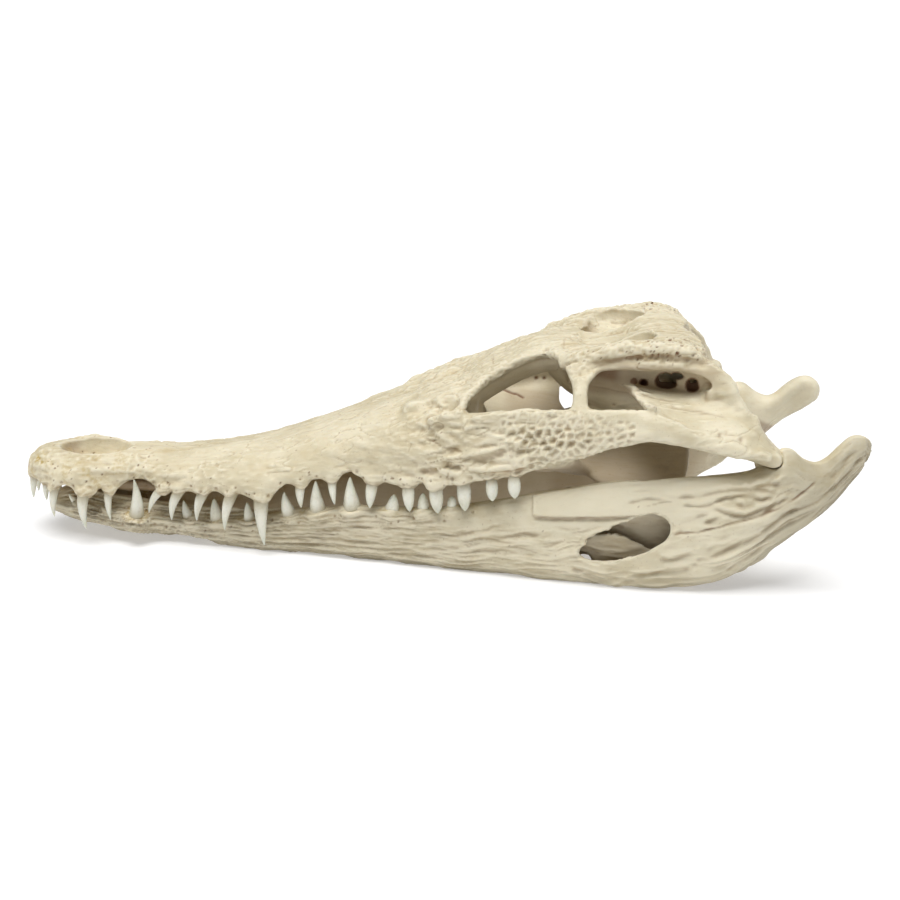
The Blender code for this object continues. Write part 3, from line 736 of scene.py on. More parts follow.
def dryBone(name, look):
    n = Nodes(name)
    cloudy = n.cloud(*look["cloudy"])
    colour = n.mix(n.times(cloudy, 0.8), look["cream"], look["ivory"])
    patchy = n.cloud(*look["patchy"])
    warm = n.times(n.attribute("warm"), n.plus(n.times(patchy, 0.65), 0.35))
    colour = n.mix(n.times(warm, 0.75), colour, look["honey"])
    colour = n.mix(n.times(n.cloud(*look["streaks"]), 0.22), colour, look["honey"])
    colour = n.mix(n.times(n.cloud(*look["specks"]), 0.35), colour, look["oldStainAndShade"])
    greasy = n.times(n.attribute("grease"), n.cloud(*look["greasy"]))
    colour = n.mix(greasy, colour, look["grease"])
    # painted highlight in ivory on crests, and ivory on pale places
    colour = n.mix(n.times(n.attribute("crest"), 0.7), colour, look["ivory"])
    # painted shade in grey
    colour = n.mix(n.attribute("dull"), colour, look["shadeGrey"])
    # stain and painted shade, mixed in as old brown
    stain = n.times(n.attribute("stain"), n.plus(n.times(cloudy, 0.25), 0.75))
    colour = n.mix(stain, colour, look["oldStainAndShade"])
    # dark joints, and painted shade in holes and grooves
    colour = n.mix(n.attribute("pits"), colour, look["deepStainAndShade"])
    n.link(colour, n.shader.inputs["Base Color"])
    grain = n.plus(n.times(n.noise(620, 5, (0.35, 1, 1), 0.7), 0.65), n.times(n.noise(1800, 3), 0.35))
    n.link(n.bump(grain, look["poreDepth"], look["pores"]), n.shader.inputs["Normal"])
    n.link(n.plus(n.times(n.noise(300, 3), 0.22), look["roughness"] - 0.11), n.shader.inputs["Roughness"])
    setInputs(n.shader, look["body"])
    return n.material


toothFinish = {
    "crown": fromScreen(233, 232, 217),
    "tip": fromScreen(212, 215, 199),
    "neck": fromScreen(184, 174, 144),
    "stain": fromScreen(168, 158, 126),
    "roughness": 0.24,
    "clouds": (260, 4, (1, 1, 0.4), 0.45, 0.72),
    "body": {
        "Subsurface Weight": 0.30,
        "Subsurface Radius": (1, 0.85, 0.62),
        "Subsurface Scale": 0.0022,
        "Coat Weight": 0.25,
        "Coat Roughness": 0.18,
    },
}


def toothEnamel(name, look):
    n = Nodes(name)
    along = n.attribute("alongTooth")
    colour = n.mix(n.between(along, 0, 0.42), look["neck"], look["crown"])
    colour = n.mix(n.between(along, 0.55, 1), colour, look["tip"])
    colour = n.mix(n.times(n.cloud(*look["clouds"]), 0.30), colour, look["stain"])
    n.link(colour, n.shader.inputs["Base Color"])
    lines = n.noise(1400, 3, (1, 1, 0.12))
    n.link(n.bump(lines, 0.0002, 0.25), n.shader.inputs["Normal"])
    n.link(n.plus(n.times(n.noise(500, 2), 0.18), look["roughness"] - 0.04), n.shader.inputs["Roughness"])
    setInputs(n.shader, look["body"])
    return n.material


# camera, at the photograph's viewing angle
cameraView = {
    "place": (-0.0044, -0.7005, 0.2895),
    "back": (-0.01749, -0.94541, 0.32540),
    "rollDegrees": 1.81,
    "lens": 57.24,
    "sensor": 36,
    "clip": (0.01, 20),
}


def placeCamera(view):
    data = bpy.data.cameras.new("photo camera")
    data.sensor_width = data.sensor_height = view["sensor"]
    data.lens = view["lens"]
    data.clip_start, data.clip_end = view["clip"]
    camera = linkObject("photo camera", data)
    back = Vector(view["back"]).normalized()
    level = Vector((0, 0, 1)).cross(back).normalized()
    up = back.cross(level)
    turn = math.radians(view["rollDegrees"])
    across = level * math.cos(turn) + up * math.sin(turn)
    rise = up * math.cos(turn) - level * math.sin(turn)
    place = Matrix((across, rise, back)).transposed().to_4x4()
    place.translation = view["place"]
    camera.matrix_world = place
    bpy.context.scene.camera = camera


placeCamera(cameraView)

# the cranium
snoutShape = {
    # x, half width, tooth margin z, top z, widest line as a share of the height, upper exponent
    "rows": [
        (0.5, 4, 26, 33.6, 0.5, 2.1),
        (3.5, 10, 24.6, 37.2, 0.5, 2.1),
        (9.5, 15.5, 24, 40.8, 0.45, 2.1),
        (19, 20.5, 23, 42.2, 0.40, 2.1),
        (33, 24.5, 22, 43, 0.35, 2.1),
        (45, 21.5, 23, 43.4, 0.35, 2.1),
        (58, 18.3, 27.6, 42.6, 0.35, 2.1),
        (78, 23.2, 24, 42.2, 0.30, 2.1),
        (100, 28, 25, 44, 0.28, 2.1),
        (124, 32, 24.5, 49, 0.26, 2.1),
        (148, 31.5, 33.5, 57.4, 0.24, 2.1),
        (170, 35.5, 38, 65.2, 0.22, 2.3),
        (195, 41, 36.8, 75, 0.20, 2.8),
        (215, 47, 40.5, 80.5, 0.22, 3.5),
        (231, 51, 45, 84.5, 0.25, 3.8),
    ],
    "palateSquare": 5,
    "palateArch": 3,
    # the tooth margin seen from the side, x and z
    "margin": [
        (0, 25), (3.5, 24.4), (8, 25), (12, 24.2), (16, 22.8), (20, 24.2), (24, 26), (28, 24.2),
        (32.5, 22.2), (38, 22), (42, 24.4), (46.5, 22.6), (51, 24.2), (55, 26.6), (58.5, 27.8), (64, 27.6),
        (69.5, 25.8), (75, 24.2), (80, 24.6), (85, 25.6), (91, 24.2), (99, 26.2), (106, 24.8), (111.5, 26.8),
        (118, 24.8), (125, 23.8), (129, 25.8), (133, 30), (136.5, 32.4), (144, 32.2), (149, 34.6),
        (155, 35.2), (161, 36.2), (165, 38.6), (169, 40.6), (174, 38), (180, 36.6), (186, 37.4),
        (191, 36.6), (199, 37), (205, 38.8), (210, 38.2), (216, 40.2), (225, 42.8), (231, 45.4),
        (237, 45.6), (244, 48.4), (249, 48.6), (258, 51), (270, 55),
    ],
    "marginEnd": 236,
}
hollows = {
    "naris": {"x": 36, "y": -0.8, "z": 43.5, "half": (18.5, 11, 12)},
    "orbit": {"x": 250, "y": 34, "z": 86, "half": (30, 20.5, 21)},
    "cheek": {"x": 262, "y": 34, "z": 64, "half": (36, 16, 22)},
    "palateWindow": {"x": 232, "y": 27, "z": 42, "half": (32, 10.5, 18)},
    "nosePassage": {"x": 248, "y": 0, "z": 74, "half": (30, 9, 9)},
    "tableBowl": {"x": 301.5, "y": 22.5, "z": 113, "half": (16, 12, 11.5)},
    "tableWindow": {"x": 292.5, "y": 17, "z": 104.8, "half": (9, 5.2, 5.2)},
    "tableNotch": {"x": 351, "y": 0, "z": 110, "half": (16, 24, 16)},
    "foramenMagnum": {"x": 350, "y": 0, "z": 90, "half": (12, 6.5, 5.5)},
    "ear": {"x": 323, "y": 42, "z": 95.2, "half": (19.5, 14, 6.2)},
}
# blades: one edge (x, y, z), the other edge (x, y, z, or y, z at the same x), and the thickness between the faces
blades = {
    "forehead": [
        (203, -26, 73, 26, 73, 10),
        (219, -35, 80.5, 35, 80.5, 9),
        (226, -35, 83.5, 35, 83.5, 8),
        (234, -27.5, 88.5, 27.5, 88.5, 8),
        (241, -21.5, 92, 21.5, 92, 7.5),
        (248, -18, 96.2, 18, 96.2, 7),
        (256, -17, 100.2, 17, 100.2, 7),
        (262, -17.5, 102, 17.5, 102, 7),
        (268, -24, 102.6, 24, 102.6, 7),
        (273, -31, 103.2, 31, 103.2, 7),
        (282, -35.5, 103.2, 35.5, 103.2, 7),
    ],
    "occiput": [
        (344, -48, 84, 342, -45, 104, 7),
        (344, -24, 80, 339, -24, 106, 8),
        (345, 0, 76, 337, 0, 107, 9),
        (344, 24, 80, 339, 24, 106, 8),
        (344, 48, 84, 342, 45, 104, 7),
    ],
}
pairedBlades = {
    "skullTable": [
        (269, 0, 100.4, 28, 101, 7),
        (281, 0, 100.2, 34.5, 105.2, 7.5),
        (292, 0, 98.8, 36.5, 108, 8),
        (300, 0, 100.2, 38, 110, 8),
        (307, 0, 105, 38.6, 110.8, 8),
        (313, 0, 108.8, 39.4, 111.4, 8),
        (320, 0, 109.4, 40, 111.5, 8),
        (331, 0, 109.4, 41, 110.6, 8),
        (339, 0, 106.8, 40, 106.6, 7.5),
    ],
    "bowlFloor": [
        (288, 25, 99.5, 36, 102.5, 6),
        (295, 22.5, 100, 36, 102.5, 7),
        (300, 16, 101, 35, 102, 7),
        (306, 12, 101.5, 34, 102, 7.5),
        (314, 12, 102.5, 33, 102.5, 8),
        (321, 14, 103.5, 32, 103, 7),
    ],
    "tableLip": [
        (270, 31, 97, 270, 28, 104.5, 6),
        (281, 36.5, 98, 281, 34, 108.2, 6.5),
        (300, 39.5, 100, 300, 37, 113, 6.5),
        (318, 41.5, 101, 318, 39, 115.6, 6.5),
        (331, 43.2, 100.5, 331, 40.4, 114.6, 6.5),
        (341, 44.6, 94, 341, 41.2, 107, 6.5),
        (350, 47, 82, 350.5, 43.5, 100.5, 7),
        (356, 50, 74, 357.5, 47, 89, 8),
        (361, 53, 69, 362.5, 50, 79.5, 8),
    ],
    "cheekBar": [
        (188, 29, 41, 27, 60, 8),
        (214, 43.5, 41.5, 39, 74, 10),
        (232, 49.5, 45, 45.5, 79.5, 9.5),
        (250, 54, 50, 50.5, 82.5, 9),
        (266, 57.8, 57, 54.5, 85, 8),
        (281, 61.5, 62.5, 58.5, 86.5, 7.5),
        (295, 64.8, 69, 62, 87.5, 7),
        (308, 67.3, 73.3, 64, 87.6, 7),
        (322, 68.5, 72.5, 65.5, 83, 7.5),
        (340, 67.8, 69, 65, 77, 8.5),
        (356, 65.8, 65.2, 64, 72, 9),
        (368, 65, 63.6, 63.6, 68.6, 8.5),
    ],
    "eyeBar": [
        (273.5, 57, 80, 283, 58.5, 80, 6),
        (274.5, 54, 87.5, 282, 54.5, 87.5, 5.5),
        (274.5, 47, 94.5, 283, 47, 94.5, 6),
        (271, 38, 101, 290, 38, 101, 7),
    ],
    "quadrate": [
        (311.5, 65.5, 86, 301, 33, 91, 3.2),
        (320, 68, 79, 314, 22, 88.6, 8),
        (334, 68, 75, 330, 20, 88.6, 10),
        (349, 67, 70.5, 345, 34, 88.4, 12),
        (361, 66, 66, 358, 42, 80, 12),
        (371, 65, 63, 370, 38, 66.5, 9),
        (374.5, 63, 63, 374, 40, 65.5, 7),
    ],
    "pterygoidWing": [
        (254, 0, 59, 254, 10, 57.5, 6),
        (268, 0, 61, 271, 25, 53.5, 6),
        (281, 0, 62.5, 283, 36, 47, 6),
        (299, 0, 64, 298, 42, 39, 6),
        (318, 0, 65, 318, 43, 36, 6.5),
        (333, 0, 65, 334, 37, 41, 6),
        (342, 0, 66, 339, 20, 53, 6),
    ],
    "ectopterygoid": [
        (243, 50, 53, 275, 55.5, 61.5, 7),
        (258, 43, 51, 277.5, 48, 58.5, 6.5),
        (274, 33, 48.5, 288, 37, 47, 6),
    ],
    "palateSwell": [
        (12, -5, 27.5, 5, 27.5, 4.5),
        (20, -6.5, 26.2, 6.5, 26.2, 5.5),
        (30, -7, 25.5, 7, 25.5, 6),
        (44, -10, 23.8, 10, 23.8, 6.5),
        (58, -10, 23, 10, 23, 7),
        (74, -11, 23.8, 11, 23.8, 7),
        (96, -13, 25, 13, 25, 6),
    ],
    "cheekShelf": [
        (206, 27, 45, 41, 57, 5),
        (220, 28, 46.5, 46, 62, 5),
        (236, 29.5, 47.5, 50, 65.5, 5),
        (252, 31.5, 48.5, 53, 67, 5),
        (266, 33.5, 49.5, 55.5, 67.5, 5),
        (278.5, 35.5, 49.5, 57.5, 67.5, 4.5),
    ],
    "prefrontalPillar": [
        (222, 12, 84, 236, 12, 86, 6),
        (227, 11.5, 72, 234, 11.5, 72, 5),
        (224, 9, 56, 240, 9, 56, 6),
    ],
}
midlineBodies = {
    "braincase": [
        (264, 4.5, 90, 100, 0.5, 2.2),
        (276, 9, 78, 103, 0.5, 2.2),
        (292, 13, 70, 106, 0.5, 2.2),
        (312, 15, 63, 107, 0.5, 2.2),
        (332, 19, 59, 107, 0.5, 2.2),
        (343, 19, 58, 104, 0.5, 2.2),
        (348, 13, 62, 96, 0.5, 2.2),
    ],
    "palatineTube": [
        (198, 13, 41, 55, 0.5, 2.2),
        (232, 11, 46.5, 60, 0.5, 2.2),
        (258, 9, 54, 64, 0.5, 2.2),
        (284, 8.5, 57, 69, 0.5, 2.2),
        (306, 9, 59, 74, 0.5, 2.2),
    ],
}
condyle = {"x": 351, "y": 0, "z": 77.5, "half": (6.5, 7, 6)}
# ridges that stand on the bone, written for the right side: x, y, z, radius
ridges = {
    "orbitRim": [
        (222.5, 42.5, 80.6, 2), (224.5, 36, 82.6, 2.3), (230, 27.4, 86.4, 2.5), (240, 20.2, 91.6, 2.4),
        (248, 17.2, 95.6, 2.3), (256, 16.4, 99.2, 2.3), (262, 17.4, 101.4, 2.3), (268, 24, 102.6, 2.3),
        (273, 31, 103.4, 2.3), (281, 35.2, 105.2, 2.4),
    ],
    "browLump": [(194, 25, 73, 2), (206, 24, 76, 2.6), (214, 26.5, 79.2, 2.8), (222, 31, 81.4, 2.6)],
    "tearRidge": [(206, 39, 71, 2), (213, 42, 75, 2.4), (219, 43.6, 77.6, 2.4), (224, 46.5, 77.4, 2)],
    "lowerOrbitRim": [
        (226, 48.4, 77, 2), (238, 50.6, 79.4, 2), (250, 53, 81.6, 2), (262, 55.2, 83.4, 1.9),
        (274, 57.8, 84.6, 1.8),
    ],
    "jointLobe": [(369, 65.5, 65, 4.6), (372, 58, 64.8, 4.4), (371.5, 50, 65.2, 3.8), (370, 43, 66, 4.2)],
    "rearKnob": [(362, 48.5, 83, 3.4), (363, 49.5, 76, 3.8), (366, 51, 70, 3.6)],
}


def toothEnds(row, side):
    return Vector((row[0], row[1] * side, row[2])), Vector((row[3], row[4] * side, row[5]))


def toothCollars(values, side):  # the bone swells round each tooth
    made, look = [], values["collar"]
    for row in values["rows"]:
        foot, tip = toothEnds(row, side)
        along = (tip - foot).normalized()
        middle = foot + along * look["along"] + Vector((0, look["out"] * side, 0))
        radius = row[6] / 2 + look["wider"]
        turn = along.to_track_quat("Z", "X").to_matrix()
        swell = {"x": middle.x, "y": middle.y, "z": middle.z + look["up"], "half": (radius, radius, look["height"])}
        made.append(ellipsoid(swell, 1, 20, turn))
    return made


upperTeeth = {
    # foot x, y, z, tip x, y, z, diameter at the gum, bluntness, bend
    "rows": [
        (4.9, 5.5, 27, 3.2, 5, 13.6, 4.6, 0.1, 0.5),
        (12.5, 11.8, 25.5, 12.2, 13, 15.5, 4.6, 0.1, 0.5),
        (18, 17, 24.5, 17.2, 19, 8.8, 5.4, 0.1, 1),
        (33.5, 22, 23.5, 34.7, 25.5, 5.5, 7, 0.1, 1.2),
        (45.5, 19, 25, 46.4, 21.5, 8.9, 5.2, 0.15, 0.8),
        (73.5, 19.5, 26.5, 65.5, 20, 12.6, 5, 0.1, 1.6),
        (82, 21.5, 26, 77.6, 22.5, 10, 5.8, 0.1, 1.6),
        (94.5, 24, 26.5, 90.8, 25.5, 11.3, 5.8, 0.1, 1.2),
        (109, 27, 27, 105.4, 29, 7.9, 6.4, 0.1, 1.2),
        (124, 29, 26.5, 125.8, 33, 1.9, 8.8, 0.1, 0.8),
        (143.5, 28.5, 34, 144.2, 31.5, 22.1, 6, 0.2, 0.4),
        (159.5, 30, 37.5, 161.1, 33.5, 25, 5.4, 0.2, 0.4),
        (180, 34, 39, 178.7, 37, 25, 7, 0.45, 0.3),
        (197.5, 38, 39.5, 198.7, 41.5, 25.4, 7.4, 0.6, 0.2),
        (211, 42.5, 41.5, 212.6, 45.5, 26.3, 8.2, 0.65, 0.2),
        (224.5, 46.5, 45.5, 225.8, 49.5, 29.6, 7.8, 0.8, 0.1),
        (238, 50, 48.5, 238.8, 52, 36, 6.4, 0.95, 0.1),
        (248.5, 53, 51.5, 249.4, 54.5, 38.6, 6.6, 1, 0.1),
    ],
    "sides": 18,
    "root": 3.5,
    "collar": {"along": 0.2, "out": 0, "up": 1, "wider": 1.5, "height": 4.4},
}
lowerTeeth = {
    "rows": [
        (15.5, 4.5, 13, 12.5, 5, 20.5, 4.4, 0.1, 0.4),
        (27.5, 11, 13.5, 23.4, 12.5, 19.4, 4, 0.1, 0.4),
        (43.8, 14, 11.5, 43.4, 15, 18, 4.4, 0.1, 0.3),
        (58.8, 19.5, 10, 59.4, 23.5, 32.1, 8.6, 0, -1),
        (85.5, 14.5, 7.5, 82.5, 15.5, 18.5, 6.2, 0, 0.5),
        (100, 16.5, 7.5, 98.6, 18.5, 21, 8.2, 0.1, 0.3),
        (117, 20, 9.5, 115.8, 22, 20.7, 6.6, 0.15, 0.2),
        (138, 24, 15, 135.2, 27, 28.8, 8, 0, 0.8),
        (152.5, 26.8, 18, 151.3, 30, 36.4, 9.4, 0, 0.5),
        (170, 30, 21, 168.6, 33, 39.8, 10.2, 0, 0.5),
        (189, 34.5, 22, 190.7, 36, 32.4, 8.4, 0.15, -0.4),
        (205.5, 38, 24, 204.9, 39.5, 34.7, 7.2, 0.4, 0.1),
        (219.5, 41.5, 27.5, 219.3, 43, 34.8, 5.4, 0.7, 0.1),
    ],
    "sides": 18,
    "root": 3.5,
    "collar": {"along": -0.8, "out": 1, "up": 0, "wider": 1.9, "height": 3.8},
}
# a tooth from root to tip: where each ring lies along the crown, and its width on a sharp and on a blunt tooth
toothRings = {
    "shares": (-0.06, 0, 0.08, 0.17, 0.28, 0.40, 0.52, 0.64, 0.75, 0.84, 0.91, 0.96, 0.99),
    "sharp": (0.92, 1, 0.99, 0.955, 0.90, 0.82, 0.72, 0.61, 0.49, 0.37, 0.27, 0.18, 0.105, 0.045),
    "blunt": (0.56, 0.58, 0.60, 0.67, 0.80, 0.92, 0.99, 1, 0.95, 0.84, 0.67, 0.45, 0.23, 0.07),
    "flatness": 0.93,
    "keel": 0.05,
}


def oneTooth(row, side, values):
    foot, tip = toothEnds(row, side)
    gum, blunt, bend = row[6] / 2, row[7], row[8]
    crown = tip - foot
    turn = crown.to_track_quat("Z", "X").to_matrix()
    backward = Vector((1, 0, 0))
    backward = (backward - crown.normalized() * crown.normalized().dot(backward)).normalized()
    shares = (-values["root"] / crown.length, *toothRings["shares"])
    rings = []
    for share, sharp, dull in zip(shares, toothRings["sharp"], toothRings["blunt"]):
        radius = gum * (sharp * (1 - blunt) + dull * blunt)
        middle = foot + crown * share - backward * bend * 4 * max(share, 0) * (1 - share)
        ring = []
        for k in range(values["sides"]):
            angle = 2 * math.pi * k / values["sides"]
            keel = 1 + toothRings["keel"] * abs(math.cos(angle)) ** 6  # a faint cutting edge fore and aft
            flat = math.sin(angle) * toothRings["flatness"]
            ring.append(middle + turn @ Vector((math.cos(angle) * keel, flat, 0)) * radius)
        rings.append(ring)
    return loft(rings)


def dentition(name, values, material, nodes):
    meshes, along = [], []
    for side in sides.values():
        for row in values["rows"]:
            mesh = oneTooth(row, side, values)
            foot, tip = toothEnds(row, side)
            crown = tip - foot
            along += [(vert.co - foot).dot(crown) / crown.length_squared for vert in mesh.verts]
            meshes.append(mesh)
    made = toObject(name, *meshes)
    writeNumbers(made, "alongTooth", np.array(along))
    settle(made, material, nodes)


# added once the big openings are carved
narisRim = [
    (18, 8, 39.4, 1.4), (24, 10.5, 40.6, 1.9), (34, 12.2, 41.4, 2.2), (44, 10.8, 41.4, 2), (54, 6, 40.2, 1.4),
]
earWall = [
    (276, 11, 84, 11, 101, 4),
    (288, 15.5, 84, 15.5, 102, 4.5),
    (300, 21, 84, 21, 105, 5),
    (312, 25.5, 84, 26.5, 105, 5),
    (324, 28.5, 84, 30.5, 105, 5),
    (335, 32, 84, 35.5, 105, 5.5),
    (345, 37, 84, 41, 103, 6),
]
# the crests under the forehead, which wall the roof of each eye socket
roofCrest = [
    (221, 30, 80, 223, 15, 69, 5),
    (230, 22, 85, 231, 11, 73, 5),
    (241, 16, 91.5, 242, 9, 79.5, 5),
    (252, 13.5, 95.5, 252, 8.5, 84.8, 5),
    (262, 14, 98, 262, 8.5, 89.4, 5),
    (272, 18, 99, 271, 9.5, 92, 5),
]
earHoles = [
    {"x": 323.4, "y": 29, "z": 92.8, "half": (6.2, 4.4, 5.2)},
    {"x": 328.6, "y": 30, "z": 96.6, "half": (5, 4.2, 2.6)},
    {"x": 334.9, "y": 34, "z": 92.6, "half": (3.5, 4, 4.2)},
    {"x": 311.6, "y": 27, "z": 90.6, "half": (1.9, 3.6, 1.8)},
    {"x": 307.2, "y": 25, "z": 91.2, "half": (1, 4, 0.9)},
]
# spurs along the rear of the cheek window: x, y, z, radius
spurs = [
    [(313.5, 63.8, 88.6, 1.7), (309.8, 63.4, 89.8, 1.3), (307, 62.8, 90.2, 0.9), (305, 62.2, 90.2, 0.5)],
    [(308, 40, 90.6, 2), (304, 37.2, 91.2, 1.6), (301, 35.2, 91.6, 1.1), (298.8, 33.8, 91.9, 0.6)],
]


def craniumBodies():
    snout = toObject("snout", midlineBody(snoutShape["rows"], snoutShape["palateSquare"], snoutShape["palateArch"]))
    rooms = [ellipsoid(hollows["nosePassage"])]
    for part in ("orbit", "cheek", "palateWindow"):
        rooms += both(hollows[part], ellipsoid)
    carve(snout, rooms)
    shell = bmesh.new()
    shell.from_mesh(snout.data)
    bpy.data.objects.remove(snout)
    bodies = [shell, blade(blades["forehead"]), blade(blades["occiput"])]
    for rows in pairedBlades.values():
        bodies += both(rows)
    for rows in midlineBodies.values():
        bodies.append(midlineBody(rows))
    bodies.append(ellipsoid(condyle))
    for rows in ridges.values():
        bodies += both(rows, ridge)
    for side in sides.values():
        bodies += toothCollars(upperTeeth, side)
    return bodies


# the grain of the skins, in millimetres
skin = {"firstVoxel": 1.3, "craniumVoxel": 1, "jawVoxel": 0.9, "voxel": 0.75, "smoothing": 2}

cranium = melt(toObject("cranium", *craniumBodies()), skin["firstVoxel"], 2)
report(f"cranium melted: {len(cranium.data.polygons)} faces")
openings = [ellipsoid(hollows[part]) for part in ("naris", "tableNotch", "foramenMagnum")]
for part in ("tableBowl", "tableWindow", "ear"):
    openings += both(hollows[part], ellipsoid)
carve(cranium, openings)
report("cranium carved")
extras = [ridge(narisRim)] + both(earWall) + both(roofCrest)
for rows in spurs:
    extras += both(rows, ridge)
addBodies(cranium.data, extras)
melt(cranium, skin["craniumVoxel"], 1)
carve(cranium, [cutter for hole in earHoles for cutter in both(hole, ellipsoid)])
melt(cranium, skin["voxel"], skin["smoothing"])
report(f"cranium skin: {len(cranium.data.polygons)} faces")


def marginShift(points):  # how far the fine tooth margin lies above the plain loft's
    x = points[:, 0]
    reach, halves, plain = np.array(snoutShape["rows"])[:, :3].T
    level = np.interp(x, reach, plain)
    shift = np.interp(x, *np.array(snoutShape["margin"]).T) - level
    shift[x > snoutShape["marginEnd"]] = 0
    outer = ramp(np.abs(points[:, 1]) / np.interp(x, reach, halves), 0.45, 0.75)
    return shift * ramp(points[:, 2], level + 11, level + 3) * outer


